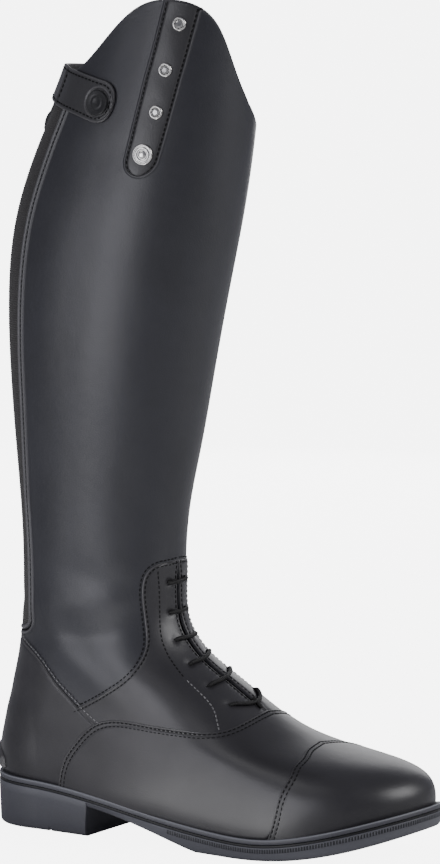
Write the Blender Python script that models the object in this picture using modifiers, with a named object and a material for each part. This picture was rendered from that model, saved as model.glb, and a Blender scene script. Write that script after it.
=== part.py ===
"""Tall riding boot for the right foot, standing empty on its sole.

Sizes are in millimetres and are scaled to metres when a mesh is made. X runs from heel to toe, Y to the
inner (medial) side of the foot, Z up. Tables count x from the back of the heel; the part's origin is the
middle of the heel's tread, on the floor.

The upper is one surface. A place on it is a turn and a row: turn 0 is the back seam, 0.25 the middle of
the outer (lateral) side, 0.5 the front, negative on the medial side; row n is the n-th section of the
tables below, counted up from the sole. Every panel is a stretch of that same surface, lifted off it.
"""
import math

import bmesh
import bpy
import numpy as np
from mathutils import Matrix, Vector

MM = 0.001
ORIGIN_X = 38.0
MERGE = 0.00001
SHARP_ANGLE = 40
FIT_GAP = 0.3
PANEL_GAP = 0.5

# Sections of the foot: a loop between a point on the back and one on the front, with its half breadths
# at heel, waist and ball on each side and the lengths over which its ends are rounded
LOOP_COLUMNS = ("back_x", "back_z", "front_x", "front_z", "swing",
                "lat_heel", "lat_waist", "lat_ball", "med_heel", "med_waist", "med_ball",
                "round_back", "round_front")
FOOT_SECTIONS = (
    (3.0, 31.5, 279.5, 33.0, 6.0, 34.0, 40.0, 51.0, 31.0, 25.5, 41.0, 39, 94),
    (1.8, 40.0, 279.0, 40.5, 6.0, 35.0, 41.0, 51.5, 32.0, 28.0, 42.0, 41, 92),
    (1.6, 49.0, 273.5, 48.5, 6.0, 35.0, 41.5, 50.5, 32.5, 30.0, 42.0, 42, 90),
    (3.2, 58.0, 257.0, 55.5, 5.0, 34.5, 41.0, 47.5, 32.5, 31.0, 41.0, 43, 88),
    (5.3, 68.0, 228.0, 60.8, 4.0, 34.0, 39.5, 44.0, 32.5, 32.0, 39.5, 43, 80),
    (7.5, 77.0, 199.5, 67.2, 3.0, 33.0, 37.5, 41.0, 32.0, 32.5, 38.0, 44, 70),
    (9.7, 87.0, 175.5, 79.0, 2.0, 32.5, 36.0, 38.5, 32.0, 33.0, 36.5, 44, 64),
    (11.8, 97.0, 154.5, 91.8, 1.0, 32.0, 35.0, 36.5, 32.0, 33.5, 35.5, 46, 58),
    (13.6, 107.5, 135.5, 104.2, 0.5, 32.5, 34.5, 35.0, 32.5, 33.5, 34.5, 48, 54),
    (15.0, 119.0, 123.5, 118.0, 0.0, 33.5, 34.5, 34.5, 33.5, 34.0, 34.5, 49, 52),
    (16.0, 131.0, 118.8, 131.5, 0.0, 35.0, 35.5, 35.0, 35.0, 35.5, 35.0, 50, 51),
)
# Sections of the shaft: level ovals, rounded over half their depth
SHAFT_COLUMNS = ("back_x", "front_x", "z", "half_breadth")
SHAFT_SECTIONS = (
    (16.8, 118.0, 146.5, 36.0),
    (16.8, 118.4, 170.0, 37.0),
    (15.2, 121.8, 198.0, 38.5),
    (12.2, 129.3, 232.0, 41.0),
    (9.4, 137.8, 276.0, 44.5),
    (9.0, 147.0, 320.0, 46.5),
    (15.0, 156.3, 362.0, 47.0),
    (31.0, 163.7, 404.0, 45.0),
    (51.0, 168.5, 446.0, 42.0),
    (65.0, 173.0, 488.0, 39.5),
    (70.0, 175.0, 510.0, 38.0),
)
BREADTH_STATIONS = (0.15, 0.45, 0.75)
LAST_STATION = 0.9
ROUND_POWER = 2.5
SAG_ROWS = 8
UPPER_WALL = 2.0
UPPER_COLUMNS = 16
FOOT_ROWS = (0, 0.5, 1.1, 1.7, 2.3, 2.9, 3.6, 4.3, 5.0, 5.6)
INSTEP_ROW_STEP = 0.45
CALF_ROWS = (12.2, 13, 14, 15)
TOP_ROW_STEPS = 6
# Height of the collar by turn: high on the outer side, low at the front and on the inner side
COLLAR_COLUMNS = ("turn", "z")
COLLAR = (
    (-0.50, 428), (-0.455, 418), (-0.38, 412), (-0.28, 412), (-0.15, 424), (0.0, 441), (0.06, 442),
    (0.115, 444.5), (0.162, 452), (0.215, 472), (0.25, 482), (0.301, 486), (0.362, 481), (0.407, 469),
    (0.463, 442), (0.50, 428),
)
# Half opening of the laced throat, in turns, by row
THROAT_COLUMNS = ("row", "half_gap")
THROAT = (
    (6.15, 0.0), (6.35, 0.017), (6.9, 0.021), (8.2, 0.020), (9.0, 0.010), (10.0, 0.005), (11.3, 0.004),
    (11.55, 0.0),
)
THROAT_START = 0.46
THROAT_TURNS = (0.48, 0.5)

# Sole: the outline's loop, the line of its upper edge, and its underside with heel, shank and toe spring
SOLE_LENGTH = 285.0
SOLE_LOOP = (0.0, 0.0, SOLE_LENGTH, 0.0, 6.0, 37.0, 44.0, 56.0, 34.0, 29.0, 45.5, 40, 97)
SOLE_LINE_COLUMNS = ("x", "z")
SOLE_LINE = ((0, 31), (60, 28), (130, 18), (165, 14.3), (200, 13.6), (240, 20.4), (285, 32.8))
HEEL_BREAST = 78.0
BREAST_SLOPE = 1.5
HEEL_GROOVE = (50.6, 51.0, 52.6, 53.0)
GROOVE_DEPTH = 1.0
SHANK_COLUMNS = ("x", "z")
SHANK = ((79.5, 17.3), (93, 15.2), (107, 12.3), (122, 8.6), (138, 4.4), (150, 1.4), (157, 0))
TREAD_END = 180.0
TOE_SPRING = 20.0
WELT_THICKNESS = 3.0
WELT_GAP = 0.4
WELT_WIDTH = 15.0
WELT_EDGE_INSET = 0.3
WELT_EDGE_DROP = 0.5
SOLE_EDGE_INSET = 0.9
SOLE_EDGE_STEP = 1.0
SOLE_EDGE_SLOPE = 0.4
TREAD_BEVEL = 2.2
SOLE_END_STEPS = 18
WELT_STEPS = 26
INSOLE_INSET = 3.4
INSOLE_THICKNESS = 3.0
INSOLE_STEPS = 20
INSOLE_STEPS_ACROSS = 4

# Seams by turn and row on the outer side; the inner side mirrors them
SEAM_COLUMNS = ("turn", "row")
VAMP_TOP = (
    (0.1465, 0.0), (0.153, 1.3), (0.167, 2.66), (0.187, 3.66), (0.209, 4.41), (0.249, 5.02),
    (0.277, 5.08), (0.328, 5.14), (0.357, 5.17), (0.385, 5.32), (0.422, 5.60), (0.469, 5.87), (0.50, 5.95),
)
CAP_EDGE = (
    (0.330, 0.0), (0.337, 1.05), (0.349, 2.18), (0.366, 2.83), (0.384, 3.33), (0.418, 3.90), (0.449, 4.32),
    (0.50, 4.62),
)
COUNTER_TOP = (
    (0.0, 8.35), (0.065, 8.37), (0.11, 8.10), (0.152, 7.57), (0.179, 6.36), (0.1955, 5.53), (0.2088, 4.50),
)
FACING_TOP = (
    (0.212, 5.50), (0.26, 6.41), (0.309, 7.25), (0.352, 7.99), (0.388, 8.84), (0.397, 9.40), (0.400, 11.10),
    (0.410, 11.43), (0.428, 11.59), (0.46, 11.65), (0.50, 11.68),
)
VAMP_STEEP_ROW = 3.0
CAP_STEEP_ROW = 3.4
FACING_STEEP_ROWS = (9.0, 11.2)
FACING_END = 0.499
TURN_CLEAR = 0.006
FEATHER_ROW = 0.08
SEAM_GAP = 0.1
COUNTER_END = 0.204
VAMP_WALL = 1.3
CAP_WALL = 1.9
COUNTER_WALL = 1.2
FACING_WALL = 1.0
PANEL_ROWS = 8
COUNTER_ROWS = 9
CAP_ROWS = 10
FACING_ROWS = 10

# Tongue behind the throat
TONGUE_TURN = 0.075
TONGUE_LOW_ROW = 5.7
TONGUE_HIGH_ROW = 12.3
TONGUE_WALL = 1.6
TONGUE_SINK = 2.5
TONGUE_COLUMNS = 5
TONGUE_ROWS = 12

# Spur rest on the back of the counter
SPUR_TURN = 0.07
SPUR_ROWS = (0.25, 1.9)
SPUR_LIFT = 2.05
SPUR_WALL = 1.6
SPUR_TAPER = 0.8
SPUR_STEPS = 3

# Elastic panel beside the back zip, its outer edge by row
STRETCH_COLUMNS = ("row", "turn")
STRETCH_EDGE = (
    (8.75, 0.105), (9.1, 0.130), (9.6, 0.138), (12.9, 0.130), (14.5, 0.140), (16.6, 0.143), (19.0, 0.147),
)
STRETCH_INNER_TURN = 0.022
STRETCH_FOOT_POINTS = 3
STRETCH_WALL = 0.6
STRETCH_STEPS = 17
STRETCH_STEPS_ACROSS = 6
STRETCH_LIFT = 0.45
COLLAR_MARGIN = 3.0

# Back zip, its bottom stop, slider and pull
ZIP_HALF_TURN = 0.009
ZIP_WALL = 1.6
ZIP_LOW_ROW = 8.95
ZIP_TOP_Z = 437.0
ZIP_STOP_ROWS = (8.46, 8.9)
ZIP_STOP_HALF_TURN = 0.014
ZIP_STOP_WALL = 3.2
ZIP_STOP_LIFT = 0.4
ZIP_STOP_STEPS = 2
ZIP_STEPS = 24
SLIDER_TOP_Z = 426.0
SLIDER_LENGTH = 11.0
SLIDER_WIDTH = 8.0
SLIDER_THICKNESS = 2.6
RAIL_WIDTH = 2.2
RAIL_HEIGHT = 2.4
PULL_LENGTH = 19.0
PULL_WIDTH = 6.4
PULL_THICKNESS = 1.4
PULL_FORK = 12.0
PULL_CLEARANCE = 0.4
PULL_CORNER = 2.0
PULL_TIP_SHARE = 0.6
HINGE_INSET = 1.2
PULL_END = 0.7

# Snap tab over the top of the zip: its edges and lift by turn, and the snap's place
TAB_COLUMNS = ("turn", "low_z", "high_z", "lift")
TAB = (
    (-0.085, 432, 446, 0.5), (-0.075, 427, 451, 0.6), (-0.035, 428, 452, 2.4), (0.035, 429, 452, 2.4),
    (0.09, 427.5, 449, 1.5), (0.155, 423, 445, 1.4), (0.185, 420.5, 443, 0.6), (0.215, 418, 440.5, 0.5),
    (0.235, 418.5, 436.5, 0.5), (0.247, 424, 431, 0.5),
)
TAB_WALL = 1.8
TAB_STEPS = 22
TAB_STEPS_ACROSS = 3
SNAP_TURN = 0.2115
SNAP_Z = 429.4
SNAP_RADIUS = 7.0
SNAP_HEIGHT = 2.2
# Profiles of turned pieces, from the middle of the top outwards, in shares of radius and height
SNAP_PROFILE = ((0, 0.7), (0.72, 0.7), (0.82, 1), (0.94, 0.85), (1, 0.4), (1, 0), (0, 0))
RIVET_PROFILE = ((0, 1), (0.45, 0.92), (0.72, 0.62), (0.8, 0.4), (1, 0.34), (1, 0), (0, 0))
TURNED_STEPS = 12

# Strap let into the outer side from the collar's peak, its two edges by row
STRAP_COLUMNS = ("row", "back_turn", "front_turn")
STRAP = (
    (17.55, 0.3130, 0.3200), (17.60, 0.3010, 0.3300), (17.72, 0.2900, 0.3365), (17.93, 0.2855, 0.3375),
    (18.90, 0.2887, 0.3472), (19.80, 0.2975, 0.3625),
)
STRAP_END_POINTS = 3
STRAP_WALL = 1.3
STRAP_STEPS = 12
STRAP_STEPS_ACROSS = 3
RIVET_COLUMNS = ("name", "turn", "row", "radius", "height")
RIVETS = (
    ("rivet_1", 0.3295, 19.60, 4.0, 2.6),
    ("rivet_2", 0.3200, 19.02, 4.0, 2.6),
    ("rivet_3", 0.3179, 18.45, 4.0, 2.6),
    ("rivet_large", 0.3126, 17.87, 6.0, 2.2),
)

# Elastic lace: one bar across the throat from facing to facing on each line
LACE_COLUMNS = ("turn", "row")
LACE_BARS = ((0.459, 11.13), (0.459, 9.99), (0.451, 8.83), (0.437, 7.81), (0.431, 6.96), (0.432, 6.32))
LACE_RADIUS = 1.1
LACE_STEPS = 6
LACE_SIDE_STEPS = 2


def columns(names, table):
    """Columns of a table as arrays by name."""
    return {name: np.array(column) for name, column in zip(names, zip(*table))}


def records(names, table):
    """Rows of a table with their values by name."""
    return [dict(zip(names, row)) for row in table]


def spline(knots, values, at):
    """Natural cubic spline through the values at the knots, read at any places."""
    knots = np.asarray(knots, float)
    values = np.asarray(values, float)
    at = np.asarray(at, float)
    count = len(knots)
    step = np.diff(knots)
    tail = (1,) * (values.ndim - 1)
    slope = np.diff(values, axis=0) / step.reshape((-1,) + tail)
    system = np.eye(count)
    right = np.zeros_like(values)
    for i in range(1, count - 1):
        system[i, i - 1:i + 2] = step[i - 1], 2 * (step[i - 1] + step[i]), step[i]
        right[i] = 6 * (slope[i] - slope[i - 1])
    bend = np.linalg.solve(system, right)
    cell = np.clip(np.searchsorted(knots, at, side="right") - 1, 0, count - 2)
    width = step[cell].reshape(at.shape + tail)
    before = (knots[cell + 1] - at).reshape(at.shape + tail)
    after = (at - knots[cell]).reshape(at.shape + tail)
    cubic = (bend[cell] * before**3 + bend[cell + 1] * after**3) / (6 * width)
    start = (values[cell] / width - bend[cell] * width / 6) * before
    end = (values[cell + 1] / width - bend[cell + 1] * width / 6) * after
    return cubic + start + end


def shaft_loop(back_x, front_x, z, half_breadth):
    """Full loop row for a level oval of the shaft."""
    half_depth = (front_x - back_x) / 2
    return (back_x, z, front_x, z, 0.0) + (half_breadth,) * 6 + (half_depth, half_depth)


SHAFT_LOOPS = tuple(shaft_loop(**row) for row in records(SHAFT_COLUMNS, SHAFT_SECTIONS))
SECTIONS = np.array(FOOT_SECTIONS + SHAFT_LOOPS)
SHAFT_ROWS = np.arange(len(FOOT_SECTIONS), len(SECTIONS))
SHAFT_Z = columns(SHAFT_COLUMNS, SHAFT_SECTIONS)["z"]
UPPER_TURNS = np.concatenate([np.linspace(0, THROAT_START, UPPER_COLUMNS - 1), THROAT_TURNS])


def named(row):
    """Loop sizes by column name."""
    row = np.asarray(row, float)
    return {name: row[..., k] for k, name in enumerate(LOOP_COLUMNS)}


def sole_line(x):
    """Height of the welt's upper edge at x."""
    line = columns(SOLE_LINE_COLUMNS, SOLE_LINE)
    return spline(line["x"], line["z"], x)


def wrapped(turn):
    """Turn brought into the range from -0.5 to 0.5."""
    turn = np.asarray(turn, float)
    return turn - np.round(turn)


def ease(share):
    """Rounded end of a loop: 0 at its tip, 1 from a share of 1 on."""
    return np.sqrt(1 - (1 - np.clip(share, 0, 1)) ** ROUND_POWER)


def plan(loop, turn):
    """Plan view of a loop at a turn, and the share of its length from back to front."""
    turn = wrapped(turn)
    share = (1 - np.cos(2 * math.pi * turn)) / 2
    length = loop["front_x"] - loop["back_x"]
    lateral = turn > 0
    weights = spline(BREADTH_STATIONS, np.eye(3), np.clip(share, BREADTH_STATIONS[0], LAST_STATION))
    breadth = 0.0
    for k, place in enumerate(("heel", "waist", "ball")):
        breadth = breadth + weights[..., k] * np.where(lateral, loop["lat_" + place], loop["med_" + place])
    ends = ease(share * length / loop["round_back"]) * ease((1 - share) * length / loop["round_front"])
    x = loop["back_x"] + share * length
    y = loop["swing"] * share**2 + np.where(lateral, -1, 1) * breadth * ends
    return x, y, share


def skin(turn, row):
    """Point of the upper's outside: its section's loop, whose lowest rows follow the sole's line."""
    turn, row = np.broadcast_arrays(np.asarray(turn, float), np.asarray(row, float))
    loop = named(spline(np.arange(len(SECTIONS)), SECTIONS, row))
    x, y, share = plan(loop, turn)
    z = loop["back_z"] + share * (loop["front_z"] - loop["back_z"])
    first = named(SECTIONS[0])
    chord = first["back_z"] + (x - first["back_x"]) / (first["front_x"] - first["back_x"]) * (
        first["front_z"] - first["back_z"])
    fade = np.clip(1 - row / SAG_ROWS, 0, None) ** 2
    return np.stack([x, y, z + fade * (sole_line(x) - chord)], -1)


def skin_normal(turn, row):
    """Outward unit normal of the upper's outside."""
    step_turn = 0.0005
    step_row = 0.005
    along = skin(turn + step_turn, row) - skin(turn - step_turn, row)
    up = skin(turn, row + step_row) - skin(turn, row - step_row)
    normal = np.cross(along, up)
    return normal / np.linalg.norm(normal, axis=-1, keepdims=True)


def lifted(turn, row, lift):
    """Point at a lift off the upper's outside; a negative lift lies inside."""
    turn = np.asarray(turn, float)
    row = np.asarray(row, float)
    return skin(turn, row) + np.asarray(lift, float)[..., None] * skin_normal(turn, row)


def row_at(z):
    """Row of the shaft at a height."""
    return np.interp(z, SHAFT_Z, SHAFT_ROWS)


def collar_row(turn, margin=0.0):
    """Row of the collar's edge at a turn, or at a margin below it."""
    collar = columns(COLLAR_COLUMNS, COLLAR)
    return row_at(spline(collar["turn"], collar["z"], turn) - margin)


def throat_gap(row):
    """Half opening of the throat at a row, in turns."""
    throat = columns(THROAT_COLUMNS, THROAT)
    return np.interp(row, throat["row"], throat["half_gap"], left=0.0, right=0.0)


def beside_throat(turn, row):
    """Turn drawn back near the front so that the sheet ends at the throat's edge."""
    size = np.abs(turn)
    near = np.clip((size - THROAT_START) / (0.5 - THROAT_START), 0, 1)
    return turn - np.sign(turn) * near * throat_gap(row)


def seam(table, turn):
    """Row of a seam at a turn of either side."""
    line = columns(SEAM_COLUMNS, table)
    return np.interp(np.abs(turn), line["turn"], line["row"])


def steep_turns(table, low, high):
    """Turns of a seam's points between two rows."""
    return [point["turn"] for point in records(SEAM_COLUMNS, table) if low < point["row"] < high]


def sole_under(x):
    """Height of the sole's underside: heel, breast, shank, tread and toe spring."""
    x = np.asarray(x, float)
    shank = columns(SHANK_COLUMNS, SHANK)
    spring = TOE_SPRING * np.clip((x - TREAD_END) / (SOLE_LENGTH - TREAD_END), 0, 1) ** 2
    z = np.where(x > shank["x"][-1], spring, np.interp(x, shank["x"], shank["z"]))
    groove = np.interp(x, HEEL_GROOVE, (0, GROOVE_DEPTH, GROOVE_DEPTH, 0))
    return np.where(x <= HEEL_BREAST + BREAST_SLOPE / 2, groove, z)


def inset_plan(loop, turn, inset):
    """Plan view of a loop moved inwards by an inset."""
    step = 0.0005
    x, y, _ = plan(loop, turn)
    x0, y0, _ = plan(loop, turn - step)
    x1, y1, _ = plan(loop, turn + step)
    along = np.stack([x1 - x0, y1 - y0], -1)
    along = along / np.linalg.norm(along, axis=-1, keepdims=True)
    return x - inset * along[..., 1], y + inset * along[..., 0]


def material(name, colour, roughness, metallic=0.0):
    """Principled material with a colour, roughness and metallic value."""
    made = bpy.data.materials.new(name)
    made.use_nodes = True
    shader = made.node_tree.nodes["Principled BSDF"]
    shader.inputs["Base Color"].default_value = (*colour, 1.0)
    shader.inputs["Roughness"].default_value = roughness
    shader.inputs["Metallic"].default_value = metallic
    return made


def metres(points):
    """Points of the tables' frame in metres of the part's frame."""
    return (np.asarray(points, float) - (ORIGIN_X, 0.0, 0.0)) * MM


def place(obj, finish):
    """Puts an object in the boot's collection, under its empty, with a finish."""
    BOOT.objects.link(obj)
    obj.parent = ROOT
    obj.data.materials.append(finish)
    return obj


def grid_object(name, points, finish, wall=0.0):
    """Grid with its vertices moved onto an array of points; coinciding edges are joined.

    A wall above 0 thickens the sheet outwards, one below 0 inwards.
    """
    rows, columns = points.shape[:2]
    mesh = bpy.data.meshes.new(name)
    work = bmesh.new()
    bmesh.ops.create_grid(work, x_segments=columns - 1, y_segments=rows - 1, size=0.5)
    spots = metres(points)
    for vert in work.verts:
        column = round((vert.co.x + 0.5) * (columns - 1))
        row = round((vert.co.y + 0.5) * (rows - 1))
        vert.co = spots[row, column]
    bmesh.ops.remove_doubles(work, verts=work.verts, dist=MERGE)
    bmesh.ops.dissolve_degenerate(work, edges=work.edges, dist=MERGE)
    work.to_mesh(mesh)
    work.free()
    mesh.shade_smooth()
    mesh.set_sharp_from_angle(angle=math.radians(SHARP_ANGLE))
    obj = place(bpy.data.objects.new(name, mesh), finish)
    if wall:
        shell = obj.modifiers.new("Wall", "SOLIDIFY")
        shell.thickness = abs(wall) * MM
        shell.offset = math.copysign(1.0, wall)
        shell.use_even_offset = True
    return obj


def panel(name, turns, low, high, lift, wall, finish, steps=PANEL_ROWS):
    """Panel of the upper between two rows at each turn."""
    share = np.linspace(0, 1, steps + 1)[:, None]
    rows = low + share * (high - low)
    turn = beside_throat(np.broadcast_to(turns, rows.shape), rows)
    return grid_object(name, lifted(turn, rows, np.broadcast_to(lift, rows.shape)), finish, wall)


def panel_turns(first, last, steep=()):
    """The upper's own turns within a range, its two ends, and turns where a seam is steep."""
    inner = UPPER_TURNS[(UPPER_TURNS > first + TURN_CLEAR) & (UPPER_TURNS < last - TURN_CLEAR)]
    if len(steep):
        inner = inner[np.abs(inner[:, None] - np.array(steep)[None, :]).min(axis=1) > TURN_CLEAR]
    return np.unique(np.concatenate([[first], inner, steep, [last]]))


def both_sides(turns):
    """Turns from the inner side's end over the front to the outer side's end."""
    return np.concatenate([turns, 1 - turns[::-1][1:]])


def make_upper(finish):
    """One hollow wall from the welt to the collar, slit at the throat, open at both ends."""
    turns = np.concatenate([-UPPER_TURNS[:0:-1], UPPER_TURNS])
    instep = np.arange(THROAT[0][0], THROAT[-1][0] - INSTEP_ROW_STEP / 2, INSTEP_ROW_STEP)
    lower = np.concatenate([FOOT_ROWS, instep, [THROAT[-1][0]], CALF_ROWS])
    upward = np.linspace(0, 1, TOP_ROW_STEPS + 1)[1:, None]
    top = collar_row(turns)[None, :]
    rows = np.concatenate([
        np.broadcast_to(lower[:, None], (len(lower), len(turns))),
        lower[-1] + upward * (top - lower[-1]),
    ])
    turn = beside_throat(np.broadcast_to(turns, rows.shape), rows)
    grid_object("upper", skin(turn, rows), finish, -UPPER_WALL)


def make_panels(finish):
    """Toe cap, vamp, counter, facings and spur rest, each a stretch of the upper's outside."""
    cap_steep = steep_turns(CAP_EDGE, 0, CAP_STEEP_ROW)
    cap = panel_turns(CAP_EDGE[0][0], 0.5, cap_steep)
    cap_all = wrapped(both_sides(cap))
    cap_low = np.full(cap_all.shape, FEATHER_ROW)
    cap_high = np.maximum(seam(CAP_EDGE, cap_all), FEATHER_ROW)
    panel("toe_cap", cap_all, cap_low, cap_high, PANEL_GAP, CAP_WALL, finish, steps=CAP_ROWS)

    vamp_steep = steep_turns(VAMP_TOP, 0, VAMP_STEEP_ROW)
    vamp = panel_turns(VAMP_TOP[0][0], 0.5, vamp_steep + [CAP_EDGE[0][0]] + cap_steep)
    vamp_all = wrapped(both_sides(vamp))
    under_cap = np.where(np.abs(vamp_all) >= CAP_EDGE[0][0], seam(CAP_EDGE, vamp_all) + SEAM_GAP, FEATHER_ROW)
    vamp_high = np.maximum(seam(VAMP_TOP, vamp_all), FEATHER_ROW)
    panel("vamp", vamp_all, under_cap, vamp_high, PANEL_GAP, VAMP_WALL, finish)

    counter = panel_turns(0.0, COUNTER_END, [VAMP_TOP[0][0]] + vamp_steep)
    counter_all = np.concatenate([-counter[:0:-1], counter])
    above_vamp = np.where(np.abs(counter_all) >= VAMP_TOP[0][0], seam(VAMP_TOP, counter_all) + SEAM_GAP, 0)
    counter_low = np.maximum(above_vamp, FEATHER_ROW)
    counter_high = seam(COUNTER_TOP, counter_all)
    panel("counter", counter_all, counter_low, counter_high, PANEL_GAP, COUNTER_WALL, finish,
          steps=COUNTER_ROWS)

    facing = panel_turns(FACING_TOP[0][0], FACING_END, steep_turns(FACING_TOP, *FACING_STEEP_ROWS))
    for name, turns in (("facing_lateral", facing), ("facing_medial", -facing[::-1])):
        low = seam(VAMP_TOP, turns) + SEAM_GAP
        panel(name, turns, low, seam(FACING_TOP, turns), PANEL_GAP, FACING_WALL, finish, steps=FACING_ROWS)

    spur = counter_all[np.abs(counter_all) <= SPUR_TURN]
    taper = np.sqrt(1 - SPUR_TAPER * (spur / SPUR_TURN) ** 2)
    low = np.full(spur.shape, SPUR_ROWS[0])
    panel("spur_rest", spur, low, low + taper * (SPUR_ROWS[1] - SPUR_ROWS[0]), SPUR_LIFT, SPUR_WALL, finish,
          steps=SPUR_STEPS)


def make_tongue(finish):
    """Tongue lying inside the wall behind the throat."""
    turns = np.linspace(0.5 - TONGUE_TURN, 0.5 + TONGUE_TURN, TONGUE_COLUMNS + 1)
    rows = np.linspace(TONGUE_LOW_ROW, TONGUE_HIGH_ROW, TONGUE_ROWS + 1)[:, None]
    rows = np.broadcast_to(rows, (rows.shape[0], len(turns)))
    sheet = np.broadcast_to(wrapped(turns), rows.shape)
    grid_object("tongue", lifted(sheet, rows, np.full(rows.shape, -TONGUE_SINK)), finish, -TONGUE_WALL)


def edge_section(turns, profile):
    """Rings around the sole's two sides at each turn, from (inset, height function) pairs."""
    loop = named(SOLE_LOOP)
    sides = []
    for sign in (1, -1):
        side = []
        for inset, height in profile:
            x, y = inset_plan(loop, sign * turns, inset)
            side.append(np.stack([x, y, height(x)], -1))
        sides.append(side)
    ring = sides[0] + sides[1][::-1]
    return np.stack(ring + ring[:1], 1)


def turn_at(x):
    """Turn of the sole's loop at a distance from the heel's back."""
    return np.arccos(1 - 2 * np.asarray(x, float) / SOLE_LENGTH) / (2 * math.pi)


def make_sole(rubber, leather):
    """Outsole with moulded heel, the welt on it and the insole on the welt."""
    def outsole_top(x):
        return sole_line(x) - FIT_GAP - WELT_THICKNESS - WELT_GAP

    def under_edge(x):
        return sole_under(x) + TREAD_BEVEL

    shank = columns(SHANK_COLUMNS, SHANK)["x"][1:]
    breast = [HEEL_BREAST, HEEL_BREAST + BREAST_SLOPE]
    marked = turn_at(np.concatenate([HEEL_GROOVE, breast, shank, [TREAD_END]]))
    even = np.linspace(0, 0.5, SOLE_END_STEPS + 1)
    clear = np.abs(even[:, None] - marked[None, :]).min(axis=1) > TURN_CLEAR
    turns = np.unique(np.concatenate([even[clear], marked]))
    outsole = edge_section(turns, (
        (SOLE_EDGE_INSET, outsole_top),
        (SOLE_EDGE_INSET, lambda x: outsole_top(x) - SOLE_EDGE_STEP),
        (0.0, lambda x: outsole_top(x) - SOLE_EDGE_STEP - SOLE_EDGE_SLOPE),
        (SOLE_EDGE_INSET, under_edge),
        (SOLE_EDGE_INSET + TREAD_BEVEL, sole_under),
    ))
    grid_object("outsole", outsole, rubber)

    loop = named(SOLE_LOOP)
    around = np.linspace(-0.5, 0.5, 2 * WELT_STEPS + 1)
    profile = (
        (WELT_EDGE_INSET, 0.0), (0.0, WELT_EDGE_DROP), (0.0, WELT_THICKNESS - WELT_EDGE_DROP),
        (WELT_EDGE_INSET, WELT_THICKNESS), (WELT_WIDTH, WELT_THICKNESS), (WELT_WIDTH, 0.0),
    )
    rings = []
    for inset, drop in profile:
        x, y = inset_plan(loop, around, inset)
        rings.append(np.stack([x, y, sole_line(x) - FIT_GAP - drop], -1))
    grid_object("welt", np.stack(rings[::-1] + rings[-1:]), rubber)

    floor = named(SECTIONS[0])
    half = np.linspace(0, 0.5, INSOLE_STEPS + 1)
    x_out, y_out = inset_plan(floor, half, INSOLE_INSET)
    x_in, y_in = inset_plan(floor, -half, INSOLE_INSET)
    share = np.linspace(0, 1, INSOLE_STEPS_ACROSS + 1)[:, None]
    x = x_out + share * (x_in - x_out)
    y = y_out + share * (y_in - y_out)
    plate = np.stack([x, y, sole_line(x) + FIT_GAP], -1)
    grid_object("insole", plate, leather, INSOLE_THICKNESS)


def back_strip(name, ends, steps, half_turn, lift, wall, finish):
    """Strip up the back seam between two rows."""
    rows = np.linspace(*ends, steps + 1)[:, None]
    turns = np.array([[-half_turn, 0.0, half_turn]])
    rows, turns = np.broadcast_arrays(rows, turns)
    grid_object(name, lifted(turns, rows, np.full(rows.shape, lift)), finish, wall)


def tab_value(name, turn):
    """Edge height or lift of the snap tab at a turn."""
    tab = columns(TAB_COLUMNS, TAB)
    return np.interp(turn, tab["turn"], tab[name])


def make_zip(metal, elastic, leather):
    """Elastic panel, zip chain and stop at the back, and the snap tab over the zip's top."""
    edge = columns(STRETCH_COLUMNS, STRETCH_EDGE)
    foot = edge["row"][:STRETCH_FOOT_POINTS]
    top = collar_row(STRETCH_INNER_TURN, COLLAR_MARGIN)
    rows = np.unique(np.concatenate([foot, np.linspace(foot[-1], top, STRETCH_STEPS)]))[:, None]
    share = np.linspace(0, 1, STRETCH_STEPS_ACROSS + 1)[None, :]
    turns = STRETCH_INNER_TURN + share * (np.interp(rows, edge["row"], edge["turn"]) - STRETCH_INNER_TURN)
    rows = np.broadcast_to(rows, turns.shape)
    sheet = lifted(turns, rows, np.full(rows.shape, STRETCH_LIFT))
    grid_object("stretch_panel", sheet, elastic, STRETCH_WALL)

    chain = (ZIP_LOW_ROW, float(row_at(ZIP_TOP_Z)))
    back_strip("zip_chain", chain, ZIP_STEPS, ZIP_HALF_TURN, FIT_GAP, ZIP_WALL, metal)
    back_strip("zip_stop", ZIP_STOP_ROWS, ZIP_STOP_STEPS, ZIP_STOP_HALF_TURN, ZIP_STOP_LIFT, ZIP_STOP_WALL,
               leather)

    turns = np.linspace(TAB[0][0], TAB[-1][0], TAB_STEPS + 1)
    low = tab_value("low_z", turns)
    share = np.linspace(0, 1, TAB_STEPS_ACROSS + 1)[:, None]
    rows = row_at(low + share * (tab_value("high_z", turns) - low))
    lift = np.broadcast_to(tab_value("lift", turns), rows.shape)
    grid_object("snap_tab", lifted(np.broadcast_to(turns, rows.shape), rows, lift), leather, TAB_WALL)


def make_strap(finish):
    """Strap on the outer side, round at its lower end."""
    strap = columns(STRAP_COLUMNS, STRAP)
    straight = np.linspace(strap["row"][STRAP_END_POINTS], strap["row"][-1], STRAP_STEPS)
    rows = np.unique(np.concatenate([strap["row"], straight]))[:, None]
    back = np.interp(rows, strap["row"], strap["back_turn"])
    front = np.interp(rows, strap["row"], strap["front_turn"])
    turns = back + np.linspace(0, 1, STRAP_STEPS_ACROSS + 1)[None, :] * (front - back)
    rows = np.minimum(np.broadcast_to(rows, turns.shape), collar_row(turns, COLLAR_MARGIN / 2))
    grid_object("side_strap", lifted(turns, rows, np.full(rows.shape, FIT_GAP)), finish, STRAP_WALL)


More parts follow.
